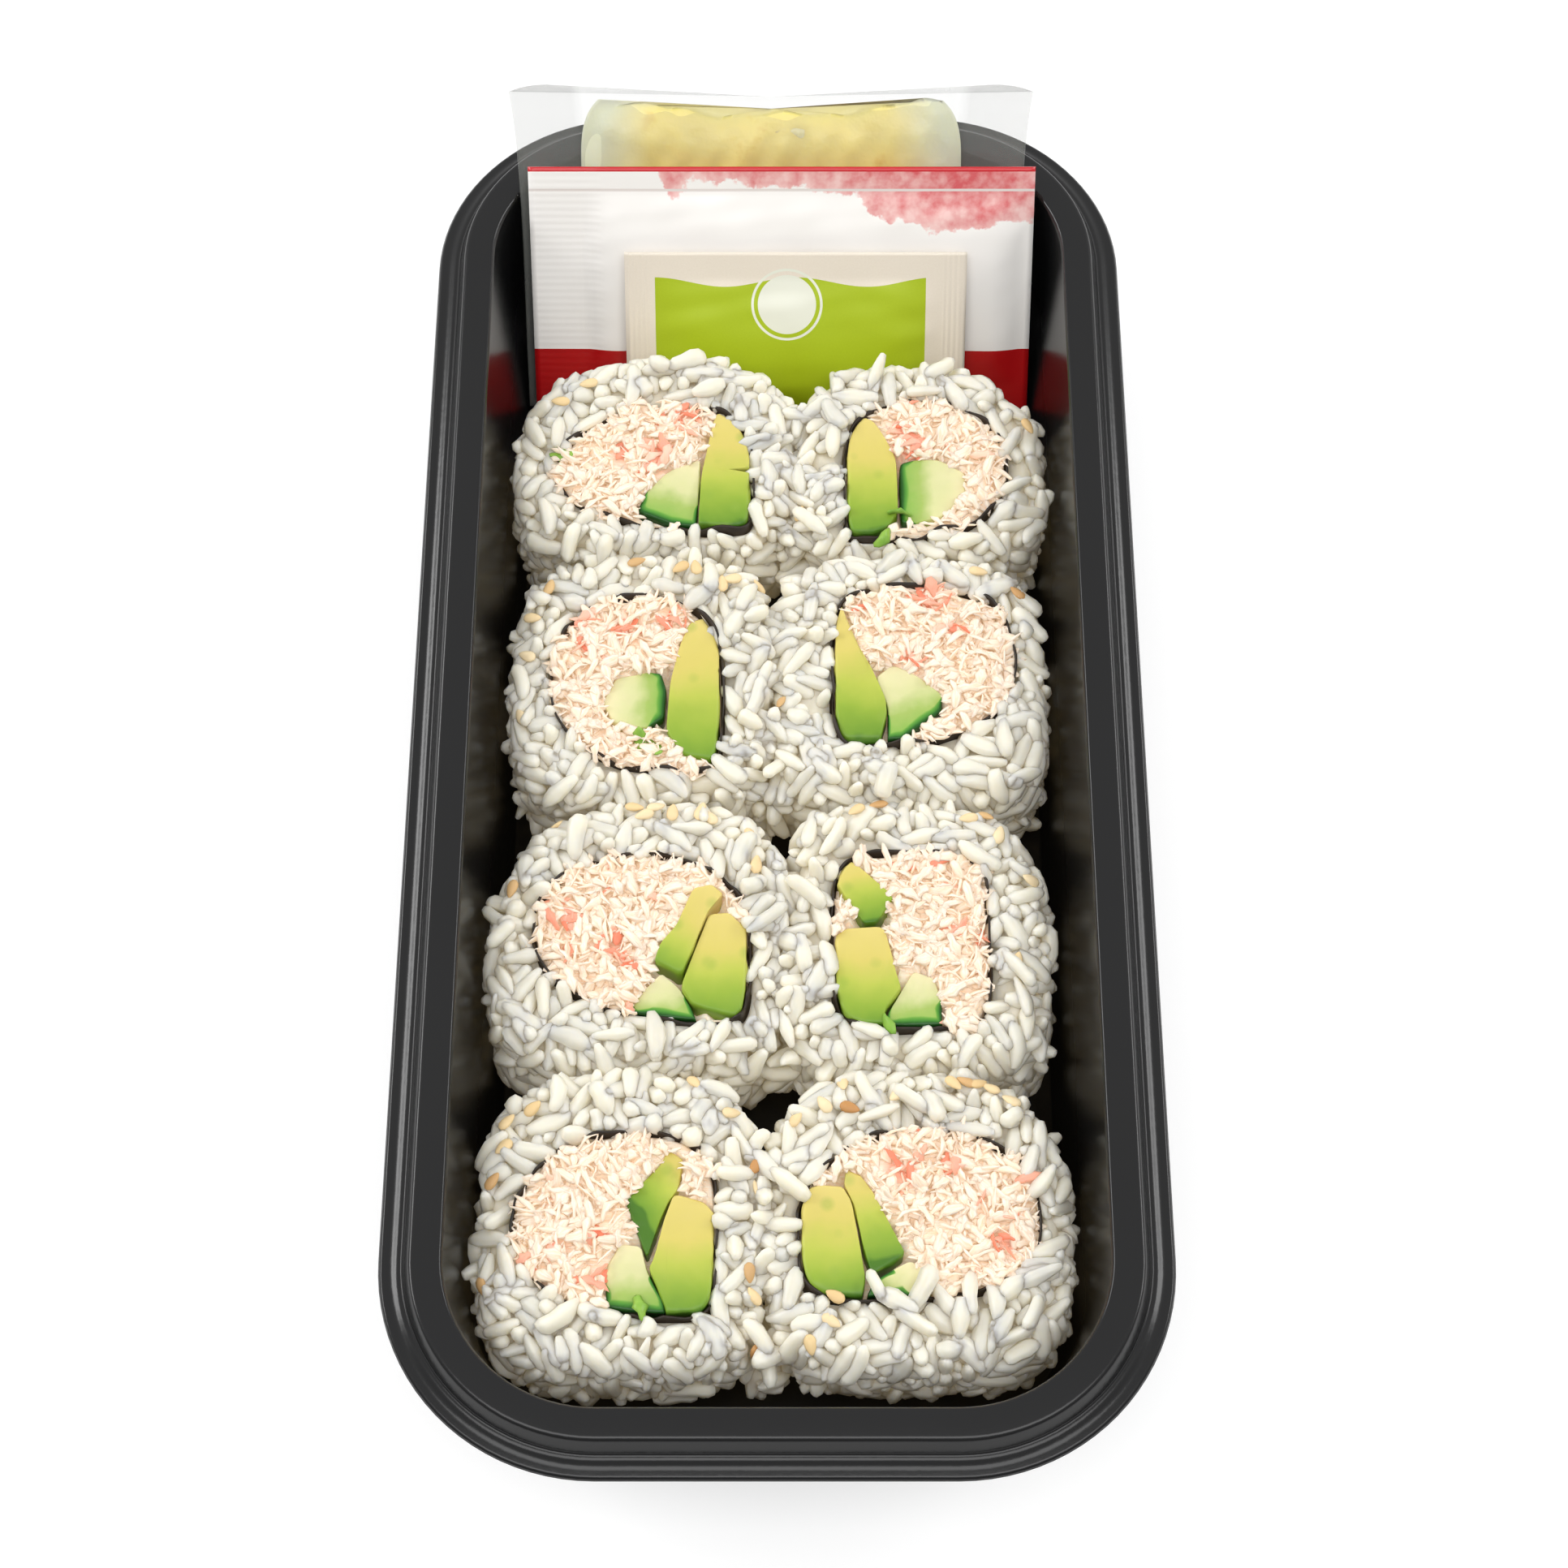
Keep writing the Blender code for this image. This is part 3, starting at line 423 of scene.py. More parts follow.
def settle(roll):
    """Places and axes of a roll's grains. Points drawn evenly in the roll's box are kept where they lie
    in the outer GRAIN_DEPTH of the rice. Each is a capsule, held as three balls in line. At each step
    balls of different grains that overlap move apart, balls too near the skin or the seaweed move back
    in, the end ones less, and deeper ones are pulled out; a grain moves by the mean and turns by the
    moment of its balls."""
    (left, right, front, back), _, _, _ = roll["rice"]
    low = np.array((left, front, FLOOR))
    size = np.array((right - left, back - front, roll["top"] - FLOOR + 1.0))
    spots = low + size * rng.random((int(GRAIN_DENSITY * size.prod()), 3))
    depth, inwards = slope_of(skin_depth, roll, spots)
    hole = hole_depth(roll, spots)
    kept = (depth > 0.8) & (depth < GRAIN_DEPTH) & (hole > 0.8) & (spots[:, 2] > FLOOR + GRAIN_DEPTH)
    kept &= (spots[:, 2] > HIDDEN_HEIGHT) | (rng.random(len(spots)) < 0.5)
    centres, inwards, hole = spots[kept], inwards[kept], hole[kept]
    axes = rng.normal(size=centres.shape)
    flat = np.where(rng.random(len(centres)) < 0.45, rng.uniform(0.6, 1.0, len(centres)), 0.0)[:, None]
    axes = unit(axes - inwards * np.einsum("ij,ij->i", axes, inwards)[:, None] * flat)
    upright = (hole < 3.2) & (rng.random(len(centres)) < 0.5)
    axes[upright] = unit(np.array((0, 0, 1.0)) + 0.35 * rng.normal(size=(upright.sum(), 3)))
    reach = np.array((-GRAIN_REACH, 0.0, GRAIN_REACH))
    room = GRAIN_RADIUS - rng.uniform(0.0, GRAIN_STANDING, len(centres))[:, None] ** 2
    grip = np.array((0.25, 1.0, 0.25))
    for step in range(SETTLING_STEPS):
        balls = centres[:, None] + axes[:, None] * reach[None, :, None]
        if step % 10 == 0:
            apart = np.linalg.norm(centres[:, None] - centres[None], axis=-1)
            i, j = np.nonzero(np.triu(apart < 2 * (GRAIN_REACH + GRAIN_RADIUS) + 1.0, 1))
        gaps = balls[i][:, :, None] - balls[j][:, None, :]
        distance = np.linalg.norm(gaps, axis=-1, keepdims=True)
        push = gaps / np.maximum(distance, 1e-6) * np.maximum(2 * GRAIN_RADIUS - distance, 0.0) * 0.4
        moves = np.zeros_like(balls)
        np.add.at(moves, i, push.sum(2))
        np.add.at(moves, j, -push.sum(1))
        depth, inwards = slope_of(skin_depth, roll, balls)
        moves += inwards * (np.maximum(room - depth, 0.0) * grip)[..., None]
        moves -= inwards * np.minimum(np.maximum(depth - GRAIN_RADIUS, 0.0), 1.0)[..., None] * GRAIN_PULL
        hole, away = slope_of(hole_depth, roll, balls)
        moves += away * np.maximum(0.45 * GRAIN_RADIUS - hole, 0.0)[..., None]
        moves *= np.minimum(1.0, 0.8 / np.maximum(np.linalg.norm(moves, axis=-1, keepdims=True), 1e-6))
        centres = centres + moves.mean(1)
        axes = unit(axes + (moves * reach[None, :, None]).sum(1) / (2 * GRAIN_REACH ** 2))
    return centres, axes


def grain_shapes(centres, axes, lengths, widths, flatness, bend, taper):
    """Rings and tips of bent grains. Along the axis t goes from -1 to 1; the half width there is
    (1 - t^2)^0.32 (1 - taper t)(1 + 0.1 sin(5t + phase)), the ring is an ellipse flattened by flatness and
    pressed by 1 + 0.09 sin(3 angle + 2 phase), and the middle line leaves the axis by bend (0.4 - t^2)
    towards its first side."""
    t = np.sin(np.pi / 2 * np.linspace(-0.8, 0.8, 6))
    angle = 2 * np.pi * np.arange(8) / 8
    side, top = across(axes)
    phase = rng.uniform(0, 2 * np.pi, len(centres))[:, None]
    half = (1 - t ** 2) ** 0.32 * (1 - taper[:, None] * t) * (1 + 0.1 * np.sin(5 * t + phase))
    half = half[..., None] * (1 + 0.09 * np.sin(3 * angle + 2 * phase[..., None]))
    middle = (centres[:, None] + axes[:, None] * (lengths[:, None] / 2 * t)[..., None]
              + side[:, None] * (bend[:, None] * (0.4 - t ** 2))[..., None])
    wide = side[:, None, None] * (np.cos(angle) * half)[..., None]
    thick = top[:, None, None] * (np.sin(angle) * half)[..., None] * flatness[:, None, None, None]
    rings = middle[:, :, None] + (wide + thick) * (widths / 2)[:, None, None, None]
    ends = np.array((-1.0, 1.0))
    tips = (centres[:, None] + axes[:, None] * (lengths[:, None] / 2 * ends)[..., None]
            - side[:, None] * (0.6 * bend)[:, None, None])
    return rings, tips


def clear_of_tray(rings):
    """Which shapes lie wholly in the tray: each point above its floor, and further in from the tray's
    rounded outline than its wall is at that height."""
    x = np.abs(rings[..., 0]) - (TRAY_WIDTH / 2 - TRAY_CORNER)
    y = np.abs(rings[..., 1]) - (TRAY_LENGTH / 2 - TRAY_CORNER)
    inset = TRAY_CORNER - np.hypot(np.maximum(x, 0), np.maximum(y, 0)) - np.minimum(np.maximum(x, y), 0)
    insets, heights = np.array(TRAY_PROFILE[7:11]).T[:, ::-1]
    return ((inset > np.interp(rings[..., 2], heights, insets)) & (rings[..., 2] > FLOOR)).all(axis=(1, 2))


def build_rice(number, roll, materials):
    """Settled grains over a core that shows only as the dark between them, a few loose on top, and on a
    roll of the left row some that fill the groove between it and the roll on its right."""
    (left, right, front, back), _, _, _ = roll["rice"]
    centres, axes = settle(roll)
    depth, inwards = slope_of(skin_depth, roll, centres)
    exposed = np.nonzero((depth < 1.9) & (inwards[:, 2] < -0.6))[0]
    chosen = rng.choice(exposed, LOOSE_GRAINS, replace=False)
    loose = centres[chosen] - inwards[chosen] * rng.uniform(1.2, 1.9, (LOOSE_GRAINS, 1))
    lying = rng.normal(size=loose.shape)
    lying = unit(lying - inwards[chosen] * np.einsum("ij,ij->i", lying, inwards[chosen])[:, None] * 0.9)
    if number % 2:
        along = rng.uniform(-0.6, 1.0, BRIDGING_GRAINS)
        y = np.where(along > 0, front + 5.0 + along * (back - front - 14.0), front + rng.uniform(2.0, 5.0, BRIDGING_GRAINS))
        x = right + 0.3 + rng.normal(0.0, 1.1, BRIDGING_GRAINS)
        below = np.where(along > 0, rng.uniform(0.9, 3.6, BRIDGING_GRAINS), 3.0 - along * 28.0)
        bridge = np.stack([x, y, cut_face(roll, x, y) - below], -1)
        loose = np.concatenate([loose, bridge])
        lying = np.concatenate([lying, unit(rng.normal(size=bridge.shape) * (0.7, 1.0, 0.5))])
    if roll.get("heap"):
        x, y = np.array(roll["heap"]).T
        heap = np.stack([x, y, cut_face(roll, x, y) + rng.uniform(0.7, 1.6, len(x))], -1)
        loose = np.concatenate([loose, heap])
        lying = np.concatenate([lying, unit(rng.normal(size=heap.shape) * (0.7, 1.0, 0.35))])
    hole = hole_depth(roll, np.concatenate([centres, loose]))
    centres = np.concatenate([centres, loose])
    axes = np.concatenate([axes, lying])
    count = len(centres)
    cut = (hole < 3.0) & (centres[:, 2] > roll["top"] - 4.0)
    wet = rng.random(count) < np.where(cut, 0.45, 0.2)
    tone = np.where(wet, rng.uniform(0.0, 0.45, count), rng.uniform(0.55, 1.0, count))
    lengths = np.where(rng.random(count) < BROKEN_SHARE, rng.uniform(*BROKEN_LENGTH, count),
                       rng.uniform(*GRAIN_LENGTH, count))
    rings, tips = grain_shapes(centres, axes, lengths, rng.uniform(*GRAIN_WIDTH, count),
                               rng.uniform(*GRAIN_FLATNESS, count), rng.uniform(-1, 1, count) * GRAIN_BEND,
                               rng.uniform(-0.28, 0.28, count))
    clear = clear_of_tray(rings)
    grains = solid(f"rice_grains_{number}", rings[clear], materials["rice"], tips[clear], tone=tone[clear])
    keep(grains, "rice", f"rice_{number}")

    hole_line = outline(roll["nori"], 96, NORI_THICKNESS / 2 + 0.2)
    skin_line = outline(roll["rice"], 96, -CORE_DEPTH)
    heel = roll.get("heel", HEEL)
    section = ((0.0, FLOOR + 0.3), (0.0, roll["top"] - 6.0), (0.0, roll["top"] - CORE_DEPTH - 0.2),
               (0.3, roll["top"] - CORE_DEPTH), (0.55, roll["top"] - CORE_DEPTH),
               (0.75, roll["top"] - CORE_DEPTH - 0.3), (0.92, roll["top"] - CORE_DEPTH - 1.2),
               (1.0, roll["top"] - CORE_DEPTH - 2.6),
               *((max(0.0, 1.0 - heel * (1 - math.sqrt(1 - (1 - part) ** 2)) / CORE_SLACK), FLOOR + part * heel)
                 for part in (0.9, 0.55, 0.38, 0.22)), (0.0, FLOOR + 0.3))
    share, height = np.array(section).T
    flat = hole_line + (skin_line - hole_line) * share[:, None, None]
    rise = np.broadcast_to(height[:, None, None], flat.shape[:2] + (1,))
    core = np.concatenate([flat, rise], -1)
    core[..., 2] += cut_face(roll, core[..., 0], core[..., 1]) - roll["top"]
    core[..., 2] = np.maximum(core[..., 2], FLOOR)
    core[2:7, :, 2] += 0.35 * ripple(core[2:7], 5.0, 40 + number)
    # The core uses the pressed-rice material with the stronger painted glow, which pales the gaps between the grains
    keep(solid(f"rice_core_{number}", core[None], materials["rice_core"]), "rice")


# Nori, crab and the strips

def build_nori(number, roll, material):
    """Seaweed band: the roll's inner outline as a sheet of its thickness, whose edge at the cut waves up
    and down and whose wall waves in and out, by noise."""
    columns = 160
    heights = np.linspace(0.0, 1.0, 8)
    path = outline(roll["nori"], columns)
    outwards = unit(outline(roll["nori"], columns, 1.0) - path)
    foot = FLOOR + 0.8
    walls = []
    for sign, order in ((-0.5, heights), (0.5, heights[::-1])):
        base = np.concatenate([np.broadcast_to(path, (len(order), columns, 2)),
                               np.broadcast_to(foot + order[:, None, None] * 26.0, (len(order), columns, 1))], -1)
        wave = 0.22 * ripple(base, 7.0, 70 + number) * np.minimum(1.0, order[:, None] * 2)
        edge = cut_face(roll, base[..., 0], base[..., 1]) - 0.25 + 0.8 * ripple(base * (1, 1, 0), 5.0, 80 + number)
        base[..., 2] = foot + order[:, None] * (edge - foot)
        base[..., :2] += outwards * (wave + sign * NORI_THICKNESS * 0.7)[..., None]
        walls.append(base)
    keep(solid(f"nori_sheet_{number}", np.concatenate(walls)[None], material), "nori", f"nori_{number}")


def shred_shapes(centres, axes, lengths, widths, thickness):
    """Rings and tips of torn strips. Along the axis t goes from -1 to 1; the half width there is
    (1 - t^2)^0.6 (1 + 0.3 sin(8t + phase)), the strip turns about its axis by twist t, and its middle
    line leaves the axis by curl (1 - t^2) and by a small sine of its own."""
    count = len(centres)
    t = np.linspace(-0.82, 0.82, 5)
    side = unit(np.cross(axes, (0.0, 0.0, 1.0)) + 0.45 * rng.normal(size=axes.shape))
    side = unit(side - axes * np.einsum("ij,ij->i", side, axes)[:, None])
    top = np.cross(side, axes)
    twist = rng.uniform(-0.8, 0.8, count)[:, None] * t
    turned = side[:, None] * np.cos(twist)[..., None] + top[:, None] * np.sin(twist)[..., None]
    flat = top[:, None] * np.cos(twist)[..., None] - side[:, None] * np.sin(twist)[..., None]
    phase = rng.uniform(0, 2 * np.pi, count)[:, None]
    half = (1 - t ** 2) ** 0.6 * (1 + 0.3 * np.sin(8 * t + phase))
    curl = (rng.uniform(-0.28, 0.28, count) * lengths)[:, None] * (1 - t ** 2)
    curl = curl + 0.12 * np.sin(5 * t + phase)
    middle = (centres[:, None] + axes[:, None] * (lengths[:, None] / 2 * t)[..., None]
              + top[:, None] * curl[..., None])
    wide = turned * (half * widths[:, None] / 2)[..., None]
    thick = flat * (half * thickness / 2)[..., None]
    around = np.pi / 3 * np.arange(6)
    rings = (middle[:, :, None] + wide[:, :, None] * np.cos(around)[:, None]
             + thick[:, :, None] * np.sin(around)[:, None])
    tips = centres[:, None] + axes[:, None] * (lengths[:, None] / 2 * np.array((-1.0, 1.0)))[..., None]
    return rings, tips


def build_crab(number, roll, materials):
    """Core with a lumpy top, low under the strips, and torn shreds that stand and lie on it, pink where the
    roll has spots. Attribute fibre is (mm along, mm across, 10 x the number of the shred)."""
    (left, right, front, back), _, _, _ = roll["nori"]
    rim = outline(roll["nori"], 72, -NORI_THICKNESS / 2 - 0.15)
    middle = rim.mean(0)
    shares = np.array((1.0, 1.0, 1.0, 0.97, 0.9, 0.8, 0.7, 0.6, 0.5, 0.4, 0.3, 0.2, 0.1))
    drops = np.array((FLOOR + 0.4 - roll["top"], -12.0, -1.8, -1.2, -0.85) + (-0.75,) * 8)
    flat = middle + (rim - middle) * shares[:, None, None]
    core = np.concatenate([flat, np.zeros(flat.shape[:2] + (1,))], -1)
    bumps = 0.35 * ripple(core, 5.0, 90 + number) + 0.3 * ripple(core, 2.0, 100 + number)
    core[..., 2] = cut_face(roll, core[..., 0], core[..., 1]) + drops[:, None]
    core[4:, :, 2] += bumps[4:]
    strips = (*roll["avocado"], roll["cucumber"])
    under = sum(in_polygon(corners, core[..., 0], core[..., 1]) for corners in strips)
    beside = sum(side_distance(corners, core[..., 0], core[..., 1]) < 1.6 for corners in strips)
    core[2:, :, 2] -= 3.0 * ((under > 0) | (beside > 1))[2:]
    tips = np.array((*middle, FLOOR + 0.4)), np.array((*middle, core[-1, :, 2].mean()))
    blush = sum(np.exp(-((core[..., 0] - x) ** 2 + (core[..., 1] - y) ** 2) / (r * r)) for x, y, r in roll["pink"])
    keep(solid(f"crab_core_{number}", core[None], materials["crab"], np.array(tips)[None],
               pink=np.clip(0.4 * blush, 0, 1)[None], fibre=core[None]), "crab", f"crab_{number}")

    box = (right - left) * (back - front)
    x = rng.uniform(left, right, int(box * SHREDS_PER_AREA))
    y = rng.uniform(front, back, len(x))
    fine = rng.random(len(x)) < THREAD_SHARE
    lengths = np.where(fine, rng.uniform(*THREAD_LENGTH, len(x)), rng.uniform(*FLAKE_LENGTH, len(x)))
    free = inside(roll["nori"], x, y) > 0.6 + 0.7 * ripple(np.stack([x, y, 0 * x], -1), 9.0, 60 + number)
    close = np.zeros(len(x))
    for corners in strips:
        clear = side_distance(corners, x, y)
        free &= ~in_polygon(corners, x, y) & (clear > 0.3)
        lengths = np.minimum(lengths, 1.3 + 2.4 * clear)
        close += clear < 2.0
    free &= close < 2
    x, y, fine, lengths = x[free], y[free], fine[free], lengths[free]
    count = len(x)
    rise = rng.uniform(-0.7, 0.4, count)
    centres = np.stack([x, y, cut_face(roll, x, y) + rise], -1)
    axes = rng.normal(size=(count, 3))
    axes[:, 2] = np.abs(axes[:, 2]) * np.where(fine, rng.uniform(0.1, 0.6, count), rng.uniform(0.0, 0.28, count))
    widths = np.where(fine, rng.uniform(*THREAD_WIDTH, count), rng.uniform(*FLAKE_WIDTH, count))
    widths = np.minimum(widths, 0.6 * lengths)
    rings, tips = shred_shapes(centres, unit(axes), lengths, widths, SHRED_THICKNESS)
    along = np.broadcast_to(lengths[:, None, None] * np.linspace(-0.5, 0.5, 5)[:, None], (count, 5, 6))
    over = np.broadcast_to(widths[:, None, None] * np.cos(np.pi / 3 * np.arange(6)) / 2, (count, 5, 6))
    own = np.broadcast_to(10.0 * np.arange(count)[:, None, None], (count, 5, 6))
    near = sum(np.hypot(x - px, y - py) < r for px, py, r in roll["pink"])
    pink = np.where(rng.random(count) < PINK_STRAY + 0.6 * near, rng.uniform(0.25, 1.0, count), 0.0)
    keep(solid(f"crab_shreds_{number}", rings, materials["crab"], tips, pink=pink,
               fibre=np.stack([along, over, own], -1)), "crab")


def strip_line(corners, roll, count):
    """Closed curve through a strip's corners: three corner cuttings of a tenth, points at even steps,
    and each point outside the seaweed drawn back along its line to the middle until it is inside."""
    points = np.array(corners, float)
    for _ in range(3):
        after = np.roll(points, -1, 0)
        points = np.stack([0.9 * points + 0.1 * after, 0.1 * points + 0.9 * after], 1).reshape(-1, 2)
    closed = np.concatenate([points, points[:1]])
    steps = np.linalg.norm(np.diff(closed, axis=0), axis=1)
    length = np.concatenate(([0.0], np.cumsum(steps)))
    share = np.arange(count) / count * length[-1]
    line = np.stack([np.interp(share, length, closed[:, k]) for k in (0, 1)], -1)
    middle = line[inside(roll["nori"], line[:, 0], line[:, 1]) > 1.0].mean(0)
    low = np.zeros(count)
    high = np.ones(count)
    for _ in range(16):
        half = (low + high) / 2
        trial = middle + (line - middle) * half[:, None]
        fits = inside(roll["nori"], trial[:, 0], trial[:, 1]) > NORI_THICKNESS
        low = np.where(fits, half, low)
        high = np.where(fits, high, half)
    whole = inside(roll["nori"], line[:, 0], line[:, 1]) > NORI_THICKNESS
    return middle + (line - middle) * np.where(whole, 1.0, low)[:, None], middle


def build_strip(name, node, roll, corners, rise, material, slot, skin, seed, shift=0.0):
    """Upright strip. The wall goes straight up its line, then a rounded edge, then a cut face of rings
    that shrink to the middle, with the knife's faint waves. Attribute depth is how far up the face a
    point lies from the skin's side, 0 to 1, and edge how far in from the strip's line, in mm."""
    line, middle = strip_line(corners, roll, 96)
    shares = np.array((1.0,) * 6 + (0.99, 0.97, 0.94, 0.9, 0.84, 0.76, 0.66, 0.54, 0.4, 0.26, 0.12))
    drops = np.array((FLOOR + 0.4 - roll["top"] - rise, -20.0, -12.0, -5.0, -1.6, -0.6, -0.25, -0.08) + (0.0,) * 9)
    flat = middle + (line - middle) * shares[:, None, None]
    rings = np.concatenate([flat, np.zeros(flat.shape[:2] + (1,))], -1)
    wave = 0.14 * ripple(rings, 9.0, seed) + 0.05 * ripple(rings, 2.5, seed + 1)
    rings[..., 2] = cut_face(roll, rings[..., 0], rings[..., 1]) + rise + drops[:, None]
    rings[5:, :, 2] += wave[5:]
    rings[1:6, :, :2] += (unit(line - middle) * (0.12 * ripple(rings[1:6], 4.0, seed + 2))[..., None])
    tips = np.array(((*middle, FLOOR + 0.4), (*middle, rings[-1, :, 2].mean())))
    towards = unit(np.array(skin, float))
    along = rings[..., :2] @ -towards
    depth = (along - along.min()) / np.ptp(along) + shift
    reach = np.linalg.norm(line - middle, axis=1)
    edge = (1 - shares)[:, None] * reach[None, :]
    facing = np.clip(unit(line - middle) @ towards, 0, 1)
    strip = solid(name, rings[None], material, tips[None], depth=depth[None], edge=edge[None],
                  facing=np.broadcast_to(facing, edge.shape)[None])
    keep(strip, slot, node)


def build_strips(number, roll, materials):
    """The avocado strips and the cucumber of a roll."""
    names = ["a", "b"] if len(roll["avocado"]) > 1 else [""]
    second = roll.get("second", (0.0, 0.0, (0.0, -1.0)))
    for letter, corners, (rise, shift, side) in zip(names, roll["avocado"], ((0.4, 0.0, (0.0, -1.0)), second)):
        build_strip(f"avocado_strip_{number}{letter}", f"avocado_{number}{letter}", roll, corners, rise,
                    materials["avocado"], "avocado", side, 120 + 5 * number + len(letter) * 40, shift)
    build_strip(f"cucumber_strip_{number}", f"cucumber_{number}", roll, roll["cucumber"], -0.2,
                materials["cucumber"], "cucumber", roll["skin"], 220 + 5 * number)


def build_bits(materials):
    """Sesame seeds that lie on the shoulders of the rice, and scraps of cucumber on the cut faces."""
    places = []
    normals = []
    for roll in ROLLS:
        for x, y in roll["sesame"]:
            wall = float(np.clip(inside(roll["rice"], np.array(x), np.array(y)), 0.0, SHOULDER))
            face = float(cut_face(roll, x, y))
            drop = SHOULDER - math.sqrt(SHOULDER ** 2 - (SHOULDER - wall) ** 2)
            spot = np.array((x, y, face - drop + 0.85))
            _, inwards = slope_of(skin_depth, roll, spot)
            places.append(spot)
            normals.append(-inwards)
    places = np.array(places)
    normals = np.array(normals)
    count = len(places)
    axes = rng.normal(size=(count, 3))
    axes = unit(axes - normals * np.einsum("ij,ij->i", axes, normals)[:, None] * 0.9)
    rings, tips = seed_shapes(places, axes, normals)
    seeds = solid("sesame_seeds", rings, materials["sesame"], tips, tone=rng.random(count))
    keep(seeds, "rice")

    spots = [(x, y, float(cut_face(roll, x, y)) + 0.6) for roll in ROLLS for x, y in roll["scraps"]]
    centres = np.array(spots)
    axes = unit(rng.normal(size=centres.shape) * (1, 1, 0.25))
    rings, tips = shred_shapes(centres, axes, np.full(len(centres), 4.4), np.full(len(centres), 2.2), 0.8)
    scraps = solid("cucumber_scraps", rings, materials["scrap"], tips)
    keep(scraps, "cucumber")


def seed_shapes(places, axes, normals):
    """Teardrop seeds: along the axis t goes from -1 to 1, and the half width is (1 - t^2)^0.5 (1 - 0.32 t),
    across an ellipse as thick as SEED_THICKNESS over SEED_WIDTH."""
    t = np.sin(np.pi / 2 * np.linspace(-0.8, 0.8, 6))
    angle = 2 * np.pi * np.arange(8) / 8
    side = unit(np.cross(axes, normals))
    top = np.cross(side, axes)
    half = (1 - t ** 2) ** 0.5 * (1 - 0.32 * t)
    middle = places[:, None] + axes[:, None] * (SEED_LENGTH / 2 * t)[None, :, None]
    wide = side[:, None, None] * (np.cos(angle) * half[:, None])[..., None] * SEED_WIDTH / 2
    thick = top[:, None, None] * (np.sin(angle) * half[:, None])[..., None] * SEED_THICKNESS / 2
    tips = places[:, None] + axes[:, None] * (SEED_LENGTH / 2 * np.array((-1.0, 1.0)))[None, :, None]
    return middle[:, :, None] + wide + thick, tips


# Tray

def build_tray(material):
    """Shell: its profile with rounded corners, carried round a rounded rectangle whose corner radius is
    TRAY_CORNER less the inset, on its upper side and, one wall further out, on its lower side."""
    points = np.array(TRAY_PROFILE, float)
    legs = unit(np.diff(points, axis=0))
    lengths = np.linalg.norm(np.diff(points, axis=0), axis=1)
    t = np.linspace(0.0, 1.0, 5)[:, None]
    profile = [points[:1]]
    for k in range(1, len(points) - 1):
        cut = min(TRAY_ROUNDING, 0.45 * lengths[k - 1], 0.45 * lengths[k])
        start = points[k] - legs[k - 1] * cut
        end = points[k] + legs[k] * cut
        profile.append((1 - t) ** 2 * start + 2 * t * (1 - t) * points[k] + t ** 2 * end)
    upper = np.concatenate(profile + [points[-1:]])
    slope = unit(np.gradient(upper, axis=0))
    lower = upper + np.stack([-slope[:, 1], slope[:, 0]], -1) * -TRAY_WALL
    section = np.concatenate([lower[::-1], upper])

    steps = 22
    quarter = np.pi / 2 * np.arange(steps + 1) / steps
    centres = []
    directions = []
    half = np.array((TRAY_WIDTH / 2 - TRAY_CORNER, TRAY_LENGTH / 2 - TRAY_CORNER))
    for k, sign in enumerate(((1, 1), (-1, 1), (-1, -1), (1, -1))):
        angle = quarter + k * np.pi / 2
        centres.append(np.broadcast_to(half * sign, (steps + 1, 2)))
        directions.append(np.stack([np.cos(angle), np.sin(angle)], -1))
        after = half * ((1, 1), (-1, 1), (-1, -1), (1, -1))[(k + 1) % 4]
        along = np.linspace(0, 1, 9 if k % 2 else 5)[1:-1, None]
        centres.append(half * sign * (1 - along) + after * along)
        directions.append(np.broadcast_to(directions[-1][-1], (len(along), 2)))
    centres = np.concatenate(centres)
    directions = np.concatenate(directions)
    flat = centres + directions * (TRAY_CORNER - section[:, 0])[:, None, None]
    rings = np.concatenate([flat, np.broadcast_to(section[:, 1][:, None, None], flat.shape[:2] + (1,))], -1)
    tips = np.array(((0.0, 0.0, section[0, 1]), (0.0, 0.0, section[-1, 1])))
    inner = np.zeros(len(section))
    inner[len(lower):] = ramp(upper[:, 0], TRAY_INSIDE - 0.3, TRAY_INSIDE + 0.3)
    inner = np.broadcast_to(inner[:, None], flat.shape[:2])
    keep(solid("tray_shell", rings[None], material, tips[None], inner=inner[None]), "black_plastic", "tray")


# Sachets

def leaning(sachet, u, v):
    """Point of a flat sheet that leans by its side view: u across it, v from 0 at the foot to 1."""
    side = polyline(sachet["side"], v)
    return np.stack([sachet["middle"] + u * sachet["width"] / 2, side[..., 0], side[..., 1]], -1)


def ginger_place(sachet, u, v):
    """The same for the ginger bag: its middle bulges back by 1 - u^8, and its top sags and flares."""
    length = sachet["side"][-1][1] - sachet["side"][0][1]
    lowered = v * (1 - GINGER_SAG / length * (1 - u * u))
    side = polyline(sachet["side"], lowered)
    x = sachet["middle"] + u * (sachet["width"] / 2 + GINGER_FLARE * v ** 6)
    return np.stack([x, side[..., 0] + GINGER_BELLY * (1 - u ** 8), side[..., 1]], -1)


